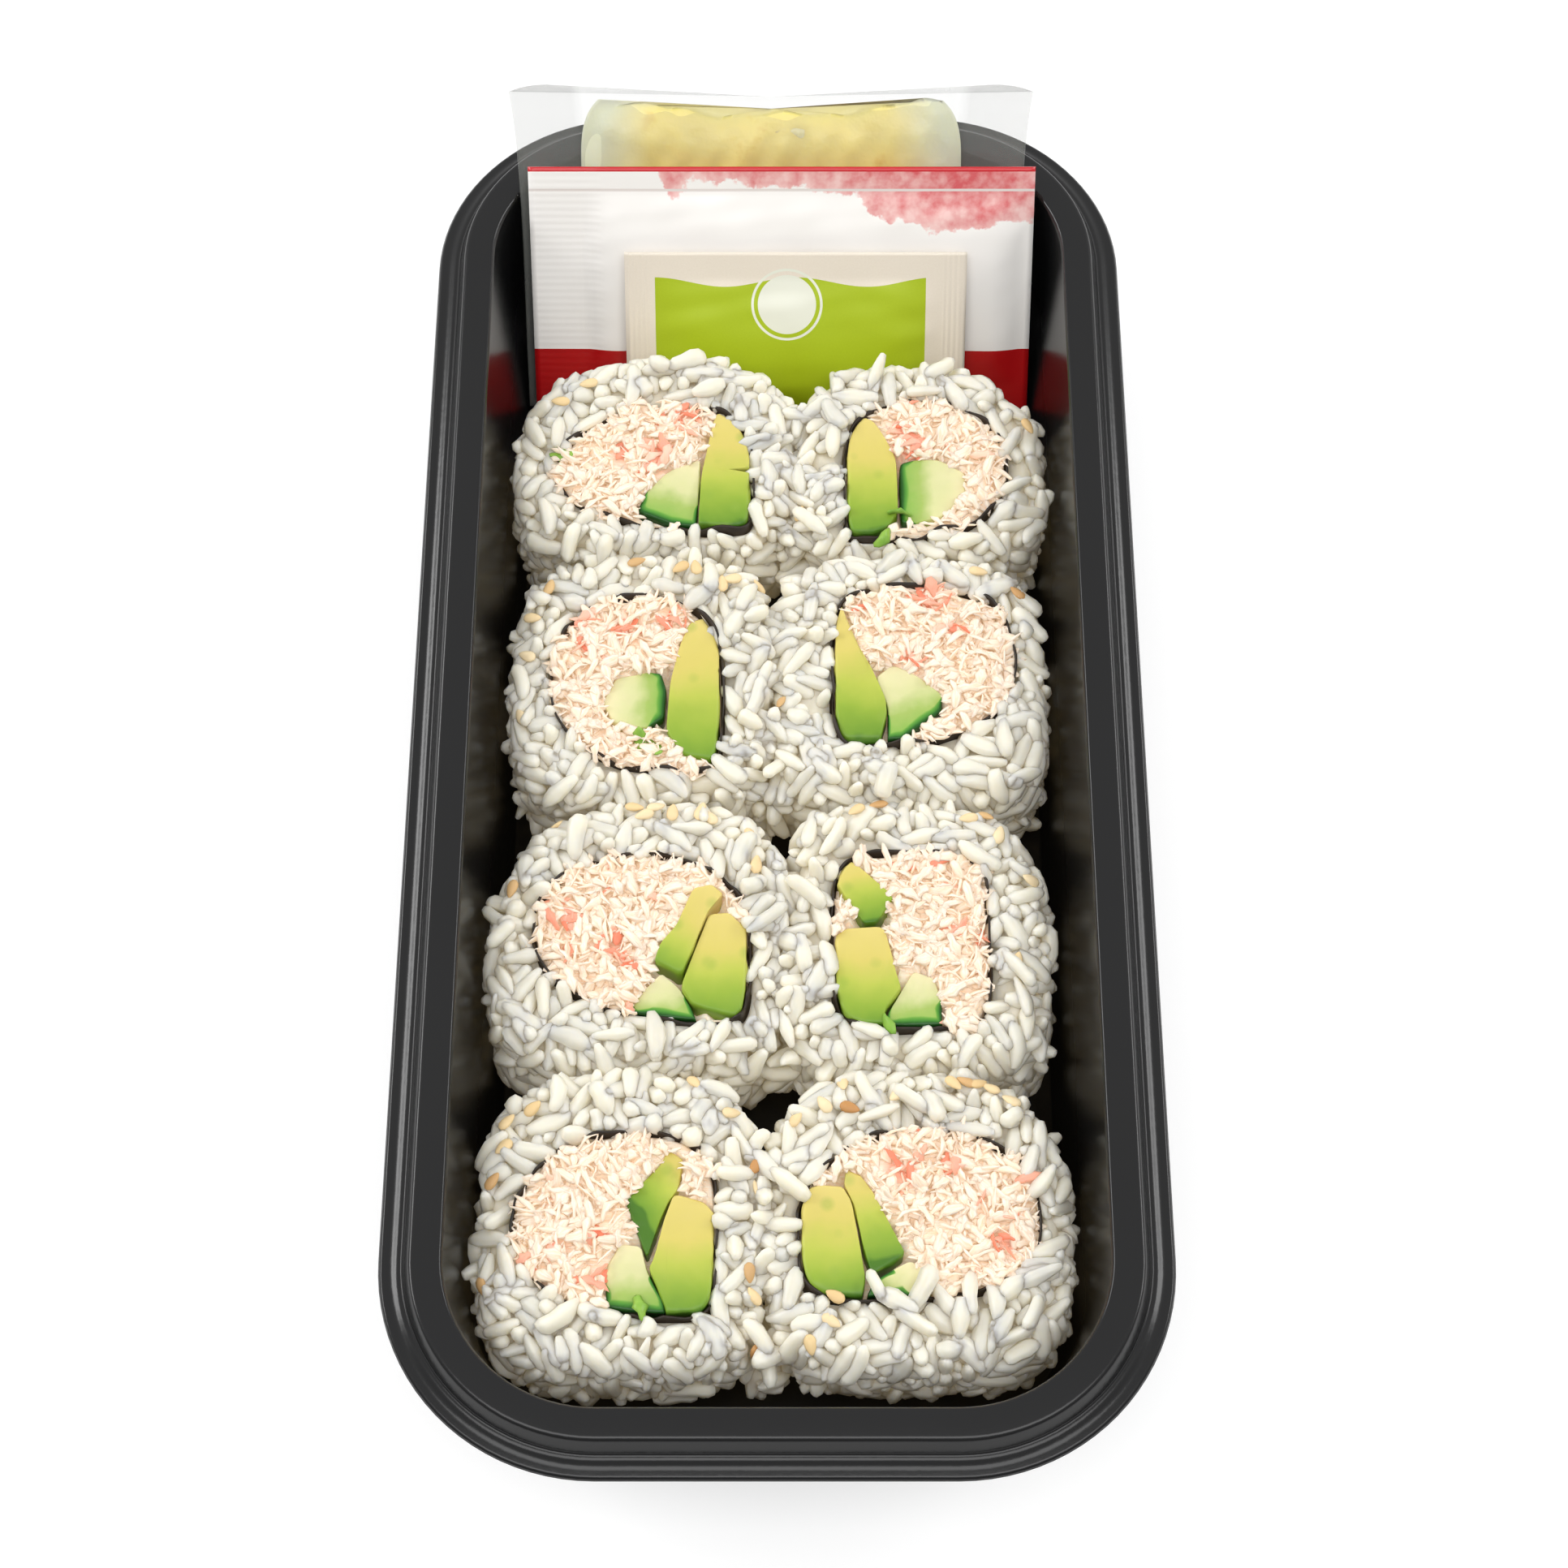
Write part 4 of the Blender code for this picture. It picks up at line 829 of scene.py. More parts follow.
def pillow(name, sachet, place, material, rows, columns, wrinkle, seed, lump=16.0):
    """Closed pouch: a sheet and the same sheet behind it, apart by the sachet's fullness. Its creases are
    noise of size lump and finer noise on the slope between full and sealed. Attribute
    sheet is (mm from the middle, mm up from the foot, 1 in front and -1 behind)."""
    v, u = np.meshgrid(np.linspace(0, 1, rows), np.linspace(-1, 1, columns), indexing="ij")
    middle = place(sachet, u, v)
    normal = unit(np.cross(np.gradient(middle, axis=1), np.gradient(middle, axis=0)))
    full = fullness(u, *sachet["full"][0]) * fullness(v, *sachet["full"][1])
    slope = 4 * full * (1 - full)
    up = np.concatenate([np.zeros((1, columns)), np.cumsum(np.linalg.norm(np.diff(middle, axis=0), axis=-1), 0)])
    flat = np.stack([u * sachet["width"] / 2, up, np.zeros_like(u)], -1)
    crease = ripple(flat * (1.0, 0.6, 1.0), lump, seed) * (0.3 + 0.7 * full)
    crease = crease + 0.6 * ripple(flat * (0.4, 1.0, 1.0), 5.0, seed + 1) * slope
    seal = sachet.get("seal", SEAL)
    thickness = seal + (sachet["fill"] - seal) * full
    free = np.minimum(1.0, 4 * np.minimum(1 - np.abs(u), np.minimum(v, 1 - v)) + 0.15)
    front = middle + normal * (thickness / 2 + wrinkle * crease * free)[..., None]
    behind = middle - normal * (thickness / 2 - wrinkle * crease * free * (1 - full))[..., None]
    rings = np.concatenate([front, behind[:, ::-1]], 1)
    sheet = np.concatenate([flat + (0, 0, 1), flat[:, ::-1] - (0, 0, 1)], 1)
    tips = np.stack([rings[0].mean(0), rings[-1].mean(0)])
    return solid(name, rings[None], material, tips[None], sheet=sheet[None])


def ginger_heap(sachet, u, v):
    """The part of the ginger bag that its contents fill: rounded corners, and a top that waves by two sines."""
    height = 0.895 + 0.01 * np.sin(9 * u + 1.0) + 0.006 * np.sin(23 * u)
    return ginger_place(sachet, GINGER_FILLED * u * (1 - 0.12 * (2 * v - 1) ** 6), 0.08 + height * v)


def build_ginger(materials):
    """Brine as a lumpy pouch inside the film, and slices of pickled ginger in it: wavy discs, of radius
    r(angle) = 1 + 0.18 sin(2 angle + a) + 0.08 sin(5 angle + b), thinner at their edge by (1 - r^4)^0.5,
    laid in rows that overlap and show as lumps of the pouch."""
    brine = pillow("ginger_brine", dict(GINGER, fill=3.7, full=((-1.0, 1.0, 0.2), (0.0, 1.0, 0.16)), seal=0.1),
                   ginger_heap, materials["brine"], 60, 110, 0.42, 330, 6.5)
    keep(brine, "clear_film")
    columns = 7
    count = 6 * columns
    u = np.tile(np.linspace(-0.5, 0.5, columns), 6) + rng.uniform(-0.05, 0.05, count)
    v = np.repeat(np.linspace(0.3, 0.84, 6), columns) + rng.uniform(-0.02, 0.02, count)
    centres = ginger_place(GINGER, u, v)
    right = unit(ginger_place(GINGER, u + 0.01, v) - centres)
    up = unit(ginger_place(GINGER, u, v + 0.01) - centres)
    normal = unit(np.cross(right, up))
    centres = centres + normal * (rng.choice((-1.0, 1.0), count) * rng.uniform(0.1, 0.5, count))[:, None]
    radius = np.concatenate([np.linspace(0.12, 0.97, 7), [1.0], np.linspace(0.97, 0.12, 7)])
    face = np.concatenate([np.full(7, -1.0), [0.0], np.full(7, 1.0)])
    angle = 2 * np.pi * np.arange(30) / 30
    phase = rng.uniform(0, 2 * np.pi, (4, count, 1, 1))
    lobes = 1 + 0.18 * np.sin(2 * angle + phase[0]) + 0.08 * np.sin(5 * angle + phase[1])
    width = rng.uniform(4.6, 6.2, (count, 1, 1))
    spread = radius[:, None] * lobes * width
    wave = 0.35 * np.sin(3 * angle + phase[2]) * radius[:, None] ** 2 + 0.3 * np.sin(2 * angle + phase[3]) * radius[:, None]
    thick = wave + face[:, None] * 0.7 * (1 - np.minimum(radius, 1) ** 4)[:, None] ** 0.5
    rings = (centres[:, None, None] + right[:, None, None] * (spread * np.cos(angle))[..., None]
             + up[:, None, None] * (0.75 * spread * np.sin(angle))[..., None] + normal[:, None, None] * thick[..., None])
    tips = np.stack([centres - 0.7 * normal, centres + 0.7 * normal], 1)
    keep(solid("ginger_slices", rings, materials["ginger"], tips, tone=rng.random(count)), "clear_film")


# Materials

def linear(code, alpha=1.0):
    """sRGB hex to linear red, green, blue and alpha."""
    parts = [int(code[k:k + 2], 16) / 255 for k in (1, 3, 5)]
    return (*[p / 12.92 if p <= 0.04045 else ((p + 0.055) / 1.055) ** 2.4 for p in parts], alpha)


def add(tree, kind, inputs=None, **settings):
    """A node with its settings; an input takes a value or another node's output."""
    made = tree.nodes.new("ShaderNode" + kind)
    for key, value in settings.items():
        setattr(made, key, value)
    for key, value in (inputs or {}).items():
        if isinstance(value, bpy.types.NodeSocket):
            tree.links.new(value, made.inputs[key])
        else:
            made.inputs[key].default_value = value
    return made


def material_of(name, **sockets):
    """A Principled material with constants on its sockets, and its tree and shader."""
    material = bpy.data.materials.new(name)
    material.use_nodes = True
    shader = material.node_tree.nodes["Principled BSDF"]
    for key, value in sockets.items():
        shader.inputs[key.replace("_", " ")].default_value = value
    return material, material.node_tree, shader


def black_plastic():
    """Thermoformed polystyrene sheet: satin and faintly mottled on the rim, wet-looking inside."""
    material, tree, shader = material_of("thermoformed_black_polystyrene", IOR=1.5, Specular_IOR_Level=0.42)
    place = add(tree, "TexCoord").outputs["Object"]
    mottle = add(tree, "TexNoise", {"Vector": place, "Scale": 900.0, "Detail": 3.0})
    broad = add(tree, "TexNoise", {"Vector": place, "Scale": 26.0, "Detail": 2.0})
    colour = add(tree, "Mix", {0: broad.outputs["Fac"], 6: linear("#0c0c0d"), 7: linear("#111112")}, data_type="RGBA")
    tree.links.new(colour.outputs[2], shader.inputs["Base Color"])
    inner = add(tree, "Attribute", attribute_name="inner").outputs["Fac"]
    spread = add(tree, "MapRange", {0: broad.outputs["Fac"], 3: 0.17, 4: 0.22})
    gloss = add(tree, "Mix", {0: inner, 2: spread.outputs[0], 3: 0.3})
    tree.links.new(gloss.outputs[0], shader.inputs["Roughness"])
    bump = add(tree, "Bump", {"Height": mottle.outputs["Fac"], "Strength": 0.08, "Distance": 0.0002})
    tree.links.new(bump.outputs[0], shader.inputs["Normal"])
    return material


def cooked_rice(name, dull, bright, painted_glow):
    """Moist cooked short-grain rice: soft white starch that lets light in, greyer where a grain is wet
    through, with a thin gloss of water. The little emission is a painted warm glow, standing in for light
    carried through the heap, which makes its crevices pale."""
    material, tree, shader = material_of(name, Subsurface_Weight=0.7, Subsurface_Radius=(1.0, 0.85, 0.6),
                                         Subsurface_Scale=0.004, IOR=1.38, Coat_Weight=0.2, Coat_Roughness=0.2,
                                         Emission_Strength=painted_glow)
    # Painted glow: a warm emission colour that lifts the grains and pales the shade in their crevices
    shader.inputs["Emission Color"].default_value = linear("#f6deae")
    tone = add(tree, "Attribute", attribute_name="tone").outputs["Fac"]
    place = add(tree, "TexCoord").outputs["Object"]
    cloud = add(tree, "TexNoise", {"Vector": place, "Scale": 260.0, "Detail": 2.0})
    blend = add(tree, "Math", {0: tone, 1: cloud.outputs["Fac"]}, operation="ADD")
    share = add(tree, "MapRange", {0: blend.outputs[0], 1: 0.5, 2: 1.25})
    colour = add(tree, "Mix", {0: share.outputs[0], 6: linear(dull), 7: linear(bright)}, data_type="RGBA")
    tree.links.new(colour.outputs[2], shader.inputs["Base Color"])
    wet = add(tree, "MapRange", {0: share.outputs[0], 3: 0.28, 4: 0.45})
    tree.links.new(wet.outputs[0], shader.inputs["Roughness"])
    fine = add(tree, "TexNoise", {"Vector": place, "Scale": 1400.0, "Detail": 2.0})
    bump = add(tree, "Bump", {"Height": fine.outputs["Fac"], "Strength": 0.12, "Distance": 0.0002})
    tree.links.new(bump.outputs[0], shader.inputs["Normal"])
    return material


def seaweed():
    """Roasted seaweed gone damp: near black, with a brown-green cast and pressed wrinkles."""
    material, tree, shader = material_of("damp_roasted_nori", IOR=1.42)
    place = add(tree, "TexCoord").outputs["Object"]
    patch = add(tree, "TexNoise", {"Vector": place, "Scale": 320.0, "Detail": 4.0})
    colour = add(tree, "Mix", {0: patch.outputs["Fac"], 6: linear("#14140f"), 7: linear("#3a2d22")}, data_type="RGBA")
    tree.links.new(colour.outputs[2], shader.inputs["Base Color"])
    wet = add(tree, "MapRange", {0: patch.outputs["Fac"], 3: 0.3, 4: 0.6})
    tree.links.new(wet.outputs[0], shader.inputs["Roughness"])
    bump = add(tree, "Bump", {"Height": patch.outputs["Fac"], "Strength": 0.5, "Distance": 0.0004})
    tree.links.new(bump.outputs[0], shader.inputs["Normal"])
    return material


def shredded_crab():
    """Shredded crab stick: cream protein fibres, coral where the stick's coloured skin is torn in. The
    little emission is a painted glow, standing in for light carried through the loose flakes."""
    material, tree, shader = material_of("shredded_crab_stick", Subsurface_Weight=0.4, Roughness=0.5, IOR=1.36,
                                         Subsurface_Radius=(1.0, 0.8, 0.6), Subsurface_Scale=0.0012,
                                         Emission_Strength=0.12)
    # Painted glow: a warm emission that brightens the flakes and the shade between them
    shader.inputs["Emission Color"].default_value = linear("#ffd8aa")
    pink = add(tree, "Attribute", attribute_name="pink").outputs["Fac"]
    # Fibres 0.3 mm apart run along each shred
    place = add(tree, "Attribute", attribute_name="fibre").outputs["Vector"]
    stretched = add(tree, "Mapping", {"Vector": place, "Scale": (0.35, 3.3, 1.0)})
    fibre = add(tree, "TexNoise", {"Vector": stretched.outputs[0], "Scale": 1.0, "Detail": 3.0})
    streak = add(tree, "MapRange", {0: fibre.outputs["Fac"], 1: 0.35, 2: 0.6})
    cream = add(tree, "Mix", {0: streak.outputs[0], 6: linear("#f3dabf"), 7: linear("#f9ecdc")}, data_type="RGBA")
    stain = add(tree, "ValToRGB", {0: pink})
    stain.color_ramp.elements[0].color = linear("#fad6c2")
    stain.color_ramp.elements[1].color = linear("#ee7257")
    shown = add(tree, "MapRange", {0: pink, 1: 0.02, 2: 0.4})
    colour = add(tree, "Mix", {0: shown.outputs[0], 6: cream.outputs[2], 7: stain.outputs[0]}, data_type="RGBA")
    tree.links.new(colour.outputs[2], shader.inputs["Base Color"])
    bump = add(tree, "Bump", {"Height": fibre.outputs["Fac"], "Strength": 0.5, "Distance": 0.0004})
    tree.links.new(bump.outputs[0], shader.inputs["Normal"])
    return material


def ripe_avocado():
    """Ripe avocado flesh: butter yellow by the stone, green towards the skin and darker at that edge,
    smooth where the knife went, with faint green dots."""
    material, tree, shader = material_of("ripe_avocado_flesh", Subsurface_Weight=0.2, Roughness=0.4, IOR=1.42,
                                         Subsurface_Radius=(0.9, 1.0, 0.3), Subsurface_Scale=0.0012)
    place = add(tree, "TexCoord").outputs["Object"]
    depth = add(tree, "Attribute", attribute_name="depth").outputs["Fac"]
    cloud = add(tree, "TexNoise", {"Vector": place, "Scale": 130.0, "Detail": 3.0})
    shift = add(tree, "MapRange", {0: cloud.outputs["Fac"], 3: -0.14, 4: 0.14})
    height = add(tree, "Math", {0: depth, 1: shift.outputs[0]}, operation="ADD")
    flesh = add(tree, "ValToRGB", {0: height.outputs[0]})
    stops = ((0.0, "#46721a"), (0.04, "#6d9428"), (0.22, "#8faa36"), (0.42, "#b3bd4c"), (0.66, "#d0c266"), (1.0, "#d8c674"))
    flesh.color_ramp.elements[0].color = linear(stops[0][1])
    flesh.color_ramp.elements[1].color = linear(stops[-1][1])
    for spot, code in stops[1:-1]:
        flesh.color_ramp.elements.new(spot).color = linear(code)
    dots = add(tree, "TexVoronoi", {"Vector": place, "Scale": 190.0, "Randomness": 1.0})
    speck = add(tree, "MapRange", {0: dots.outputs["Distance"], 1: 0.1, 2: 0.26, 3: 0.4, 4: 0.0})
    colour = add(tree, "Mix", {0: speck.outputs[0], 6: flesh.outputs[0], 7: linear("#8ba73c")}, data_type="RGBA")
    tree.links.new(colour.outputs[2], shader.inputs["Base Color"])
    bump = add(tree, "Bump", {"Height": cloud.outputs["Fac"], "Strength": 0.15, "Distance": 0.0005})
    tree.links.new(bump.outputs[0], shader.inputs["Normal"])
    return material


def cut_cucumber():
    """Cut cucumber: pale watery flesh that lets light in, and dark green skin along one side."""
    material, tree, shader = material_of("cut_cucumber", Subsurface_Weight=0.3, Roughness=0.25, IOR=1.36,
                                         Subsurface_Radius=(0.8, 1.0, 0.5), Subsurface_Scale=0.0015)
    place = add(tree, "TexCoord").outputs["Object"]
    edge = add(tree, "Attribute", attribute_name="edge").outputs["Fac"]
    facing = add(tree, "Attribute", attribute_name="facing").outputs["Fac"]
    cloud = add(tree, "TexNoise", {"Vector": place, "Scale": 240.0, "Detail": 3.0})
    depth = add(tree, "Attribute", attribute_name="depth").outputs["Fac"]
    wander = add(tree, "MapRange", {0: cloud.outputs["Fac"], 3: -0.2, 4: 0.2})
    inward = add(tree, "Math", {0: depth, 1: wander.outputs[0]}, operation="ADD")
    flesh = add(tree, "ValToRGB", {0: inward.outputs[0]})
    flesh.color_ramp.elements[0].color = linear("#7fb04a")
    flesh.color_ramp.elements[1].color = linear("#e4dbb0")
    flesh.color_ramp.elements.new(0.3).color = linear("#a2b962")
    flesh.color_ramp.elements.new(0.55).color = linear("#d2d39b")
    reach = add(tree, "MapRange", {0: facing, 1: 0.3, 2: 0.75, 3: 0.01, 4: 1.7})
    deep = add(tree, "Math", {0: edge, 1: 0.05}, operation="ADD")
    rind = add(tree, "Math", {0: deep.outputs[0], 1: reach.outputs[0]}, operation="DIVIDE")
    tint = add(tree, "ValToRGB", {0: rind.outputs[0]})
    tint.color_ramp.elements[0].color = linear("#173f16")
    tint.color_ramp.elements[1].color = linear("#7fb04a")
    tint.color_ramp.elements.new(0.3).color = linear("#245a1d")
    tint.color_ramp.elements.new(0.6).color = linear("#4f8f35")
    here = add(tree, "MapRange", {0: rind.outputs[0], 1: 0.8, 2: 1.0})
    colour = add(tree, "Mix", {0: here.outputs[0], 6: tint.outputs[0], 7: flesh.outputs[0]}, data_type="RGBA")
    tree.links.new(colour.outputs[2], shader.inputs["Base Color"])
    bump = add(tree, "Bump", {"Height": cloud.outputs["Fac"], "Strength": 0.2, "Distance": 0.0005})
    tree.links.new(bump.outputs[0], shader.inputs["Normal"])
    return material


def green_scrap():
    """Scraps of cucumber skin: wet mid green, paler where they are torn."""
    material, tree, shader = material_of("torn_cucumber_skin", Roughness=0.3, IOR=1.38)
    place = add(tree, "TexCoord").outputs["Object"]
    cloud = add(tree, "TexNoise", {"Vector": place, "Scale": 420.0, "Detail": 3.0})
    colour = add(tree, "Mix", {0: cloud.outputs["Fac"], 6: linear("#4f8f2c"), 7: linear("#a9cc58")}, data_type="RGBA")
    tree.links.new(colour.outputs[2], shader.inputs["Base Color"])
    return material


def toasted_sesame():
    """Toasted sesame: dry tan husk, some seeds browner than others."""
    material, tree, shader = material_of("toasted_sesame_husk", Roughness=0.45, IOR=1.45)
    tone = add(tree, "Attribute", attribute_name="tone").outputs["Fac"]
    place = add(tree, "TexCoord").outputs["Object"]
    cloud = add(tree, "TexNoise", {"Vector": place, "Scale": 700.0, "Detail": 2.0})
    husk = add(tree, "ValToRGB", {0: tone})
    husk.color_ramp.elements[0].color = linear("#f7e6bf")
    husk.color_ramp.elements[1].color = linear("#b98048")
    husk.color_ramp.elements.new(0.7).color = linear("#ecd09a")
    shade = add(tree, "MapRange", {0: cloud.outputs["Fac"], 3: 0.0, 4: 0.3})
    colour = add(tree, "Mix", {0: shade.outputs[0], 6: husk.outputs[0], 7: linear("#c99a58")}, data_type="RGBA")
    tree.links.new(colour.outputs[2], shader.inputs["Base Color"])
    bump = add(tree, "Bump", {"Height": cloud.outputs["Fac"], "Strength": 0.2, "Distance": 0.0002})
    tree.links.new(bump.outputs[0], shader.inputs["Normal"])
    return material


def soy_film():
    """Printed laminated film: glossy white with red fields, crimped fine at its left end and top."""
    material, tree, shader = material_of("printed_laminated_film_white", Roughness=0.22, IOR=1.5)
    sheet = add(tree, "Attribute", attribute_name="sheet").outputs["Vector"]
    x, v, _ = add(tree, "SeparateXYZ", {0: sheet}).outputs
    cloud = add(tree, "TexNoise", {"Vector": sheet, "Scale": 0.22, "Detail": 5.0, "Roughness": 0.6})
    grain = add(tree, "TexNoise", {"Vector": sheet, "Scale": 0.45, "Detail": 3.0})
    white = linear("#fbf8f4")
    # Wash of diluted red along the top: its depth along x as a curve, and an edge that wanders by noise
    along = add(tree, "MapRange", {0: x, 1: -43.0, 2: 43.0})
    curve = add(tree, "ValToRGB", {0: along.outputs[0]})
    curve.color_ramp.interpolation = "EASE"
    curve.color_ramp.elements[0].color = (0.0, 0.0, 0.0, 1.0)
    curve.color_ramp.elements[1].color = (0.8, 0.8, 0.8, 1.0)
    for spot, depth in ((0.24, 0.0), (0.29, 0.42), (0.34, 0.25), (0.5, 0.36), (0.62, 0.4), (0.72, 0.8), (0.85, 1.0)):
        curve.color_ramp.elements.new(spot).color = (depth, depth, depth, 1.0)
    reach = add(tree, "Math", {0: curve.outputs[0], 1: 11.0}, operation="MULTIPLY")
    wander = add(tree, "MapRange", {0: cloud.outputs["Fac"], 1: 0.25, 2: 0.75, 3: -1.8, 4: 2.2})
    low = add(tree, "Math", {0: reach.outputs[0], 1: wander.outputs[0]}, operation="ADD")
    line = add(tree, "Math", {0: 43.6, 1: low.outputs[0]}, operation="SUBTRACT")
    above = add(tree, "Math", {0: v, 1: line.outputs[0]}, operation="SUBTRACT")
    wash = add(tree, "MapRange", {0: above.outputs[0], 1: 0.0, 2: 0.5})
    right = add(tree, "MapRange", {0: x, 1: -23.0, 2: -21.0})
    cover = add(tree, "Math", {0: wash.outputs[0], 1: right.outputs[0]}, operation="MULTIPLY")
    dense = add(tree, "MapRange", {0: above.outputs[0], 1: 0.0, 2: 12.0, 3: -0.12, 4: 0.35})
    body = add(tree, "Math", {0: grain.outputs["Fac"], 1: dense.outputs[0]}, operation="ADD")
    pale = add(tree, "ValToRGB", {0: body.outputs[0]})
    pale.color_ramp.elements[0].position = 0.3
    pale.color_ramp.elements[1].position = 0.8
    pale.color_ramp.elements[0].color = linear("#f6cdc8")
    pale.color_ramp.elements[1].color = linear("#dc6468")
    washed = add(tree, "Mix", {0: cover.outputs[0], 6: white, 7: pale.outputs[0]}, data_type="RGBA")
    # Painted shade: a thin greyer line along the crimp seam 4 mm below the top, standing for the shade of its fold
    crimp_seam_shade = add(tree, "Math", {0: v, 1: 39.6, 2: 0.22}, operation="COMPARE")
    crimp_seam_shaded = add(tree, "Mix", {0: crimp_seam_shade.outputs[0], 6: washed.outputs[2], 7: linear("#e4dbd6")}, data_type="RGBA")
    # Red band at the foot and red line at the top
    foot = add(tree, "Math", {0: v, 1: 11.3}, operation="LESS_THAN")
    banded = add(tree, "Mix", {0: foot.outputs[0], 6: crimp_seam_shaded.outputs[2], 7: linear("#b81418")}, data_type="RGBA")
    top = add(tree, "Math", {0: v, 1: 42.8}, operation="GREATER_THAN")
    lined = add(tree, "Mix", {0: top.outputs[0], 6: banded.outputs[2], 7: linear("#c8242c")}, data_type="RGBA")
    tree.links.new(lined.outputs[2], shader.inputs["Base Color"])
    # Crimp ribs: bands 1.2 mm apart on the left seal, and lines along the top one
    ribs = add(tree, "Math", {0: v, 1: 5.2}, operation="MULTIPLY")
    rib = add(tree, "Math", {0: ribs.outputs[0]}, operation="SINE")
    left = add(tree, "MapRange", {0: x, 1: -30.5, 2: -31.5})
    on_left = add(tree, "Math", {0: rib.outputs[0], 1: left.outputs[0]}, operation="MULTIPLY")
    seam = add(tree, "Math", {0: v, 1: 39.6, 2: 0.45}, operation="COMPARE")
    relief = add(tree, "Math", {0: on_left.outputs[0], 1: seam.outputs[0]}, operation="SUBTRACT")
    bump = add(tree, "Bump", {"Height": relief.outputs[0], "Strength": 0.06, "Distance": 0.0003})
    tree.links.new(bump.outputs[0], shader.inputs["Normal"])
    return material


def wasabi_film():
    """Printed laminated paper: satin beige with a lime field whose upper edge is a low wave, and a pale disc."""
    material, tree, shader = material_of("printed_laminated_paper_beige", Roughness=0.42, IOR=1.48)
    sheet = add(tree, "Attribute", attribute_name="sheet").outputs["Vector"]
    x, v, _ = add(tree, "SeparateXYZ", {0: sheet}).outputs
    tooth = add(tree, "TexNoise", {"Vector": sheet, "Scale": 3.0, "Detail": 3.0})
    beige = add(tree, "Mix", {0: tooth.outputs["Fac"], 6: linear("#e6dbca"), 7: linear("#eee4d5")}, data_type="RGBA")
    lime = add(tree, "Mix", {0: tooth.outputs["Fac"], 6: linear("#a6bb14"), 7: linear("#b0c41a")}, data_type="RGBA")
    turn = add(tree, "Math", {0: x, 1: 0.26}, operation="MULTIPLY")
    wave = add(tree, "Math", {0: turn.outputs[0]}, operation="COSINE")
    crest = add(tree, "MapRange", {0: wave.outputs[0], 1: -1.0, 2: 1.0, 3: 28.0, 4: 29.6})
    under = add(tree, "Math", {0: v, 1: crest.outputs[0]}, operation="LESS_THAN")
    off = add(tree, "Math", {0: x, 1: 0.9}, operation="ADD")
    between = add(tree, "Math", {0: off.outputs[0], 1: 0.0, 2: 23.2}, operation="COMPARE")
    field = add(tree, "Math", {0: under.outputs[0], 1: between.outputs[0]}, operation="MULTIPLY")
    printed = add(tree, "Mix", {0: field.outputs[0], 6: beige.outputs[2], 7: lime.outputs[2]}, data_type="RGBA")
    away = add(tree, "VectorMath", {0: sheet, 1: (-1.5, 25.0, 1.0)}, operation="DISTANCE")
    disc = add(tree, "Math", {0: away.outputs["Value"], 1: 5.0}, operation="LESS_THAN")
    ring = add(tree, "Math", {0: away.outputs["Value"], 1: 5.9, 2: 0.22}, operation="COMPARE")
    badge = add(tree, "Math", {0: disc.outputs[0], 1: ring.outputs[0]}, operation="MAXIMUM")
    whole = add(tree, "Mix", {0: badge.outputs[0], 6: printed.outputs[2], 7: linear("#e9eadb")}, data_type="RGBA")
    tree.links.new(whole.outputs[2], shader.inputs["Base Color"])
    ribs = add(tree, "Math", {0: x, 1: 7.0}, operation="MULTIPLY")
    rib = add(tree, "Math", {0: ribs.outputs[0]}, operation="SINE")
    sides = add(tree, "Math", {0: x}, operation="ABSOLUTE")
    seal = add(tree, "MapRange", {0: sides.outputs[0], 1: 25.0, 2: 25.6})
    relief = add(tree, "Math", {0: rib.outputs[0], 1: seal.outputs[0]}, operation="MULTIPLY")
    bump = add(tree, "Bump", {"Height": relief.outputs[0], "Strength": 0.2, "Distance": 0.0002})
    tree.links.new(bump.outputs[0], shader.inputs["Normal"])
    return material


def clear_film():
    """Clear nylon and polythene film: nearly see-through, a little milky at its sealed edges, glossy."""
    material, tree, shader = material_of("clear_laminated_film", Roughness=0.12, IOR=1.5)
    shader.inputs["Base Color"].default_value = linear("#a6a8a3")
    sheet = add(tree, "Attribute", attribute_name="sheet").outputs["Vector"]
    x, v, _ = add(tree, "SeparateXYZ", {0: sheet}).outputs
    side = add(tree, "Math", {0: x}, operation="ABSOLUTE")
    seal = add(tree, "MapRange", {0: side.outputs[0], 1: 31.0, 2: 33.0, 3: 0.13, 4: 0.2})
    tree.links.new(seal.outputs[0], shader.inputs["Alpha"])
    wrinkle = add(tree, "TexNoise", {"Vector": sheet, "Scale": 0.12, "Detail": 3.0})
    bump = add(tree, "Bump", {"Height": wrinkle.outputs["Fac"], "Strength": 0.5, "Distance": 0.002})
    tree.links.new(bump.outputs[0], shader.inputs["Normal"])
    return material


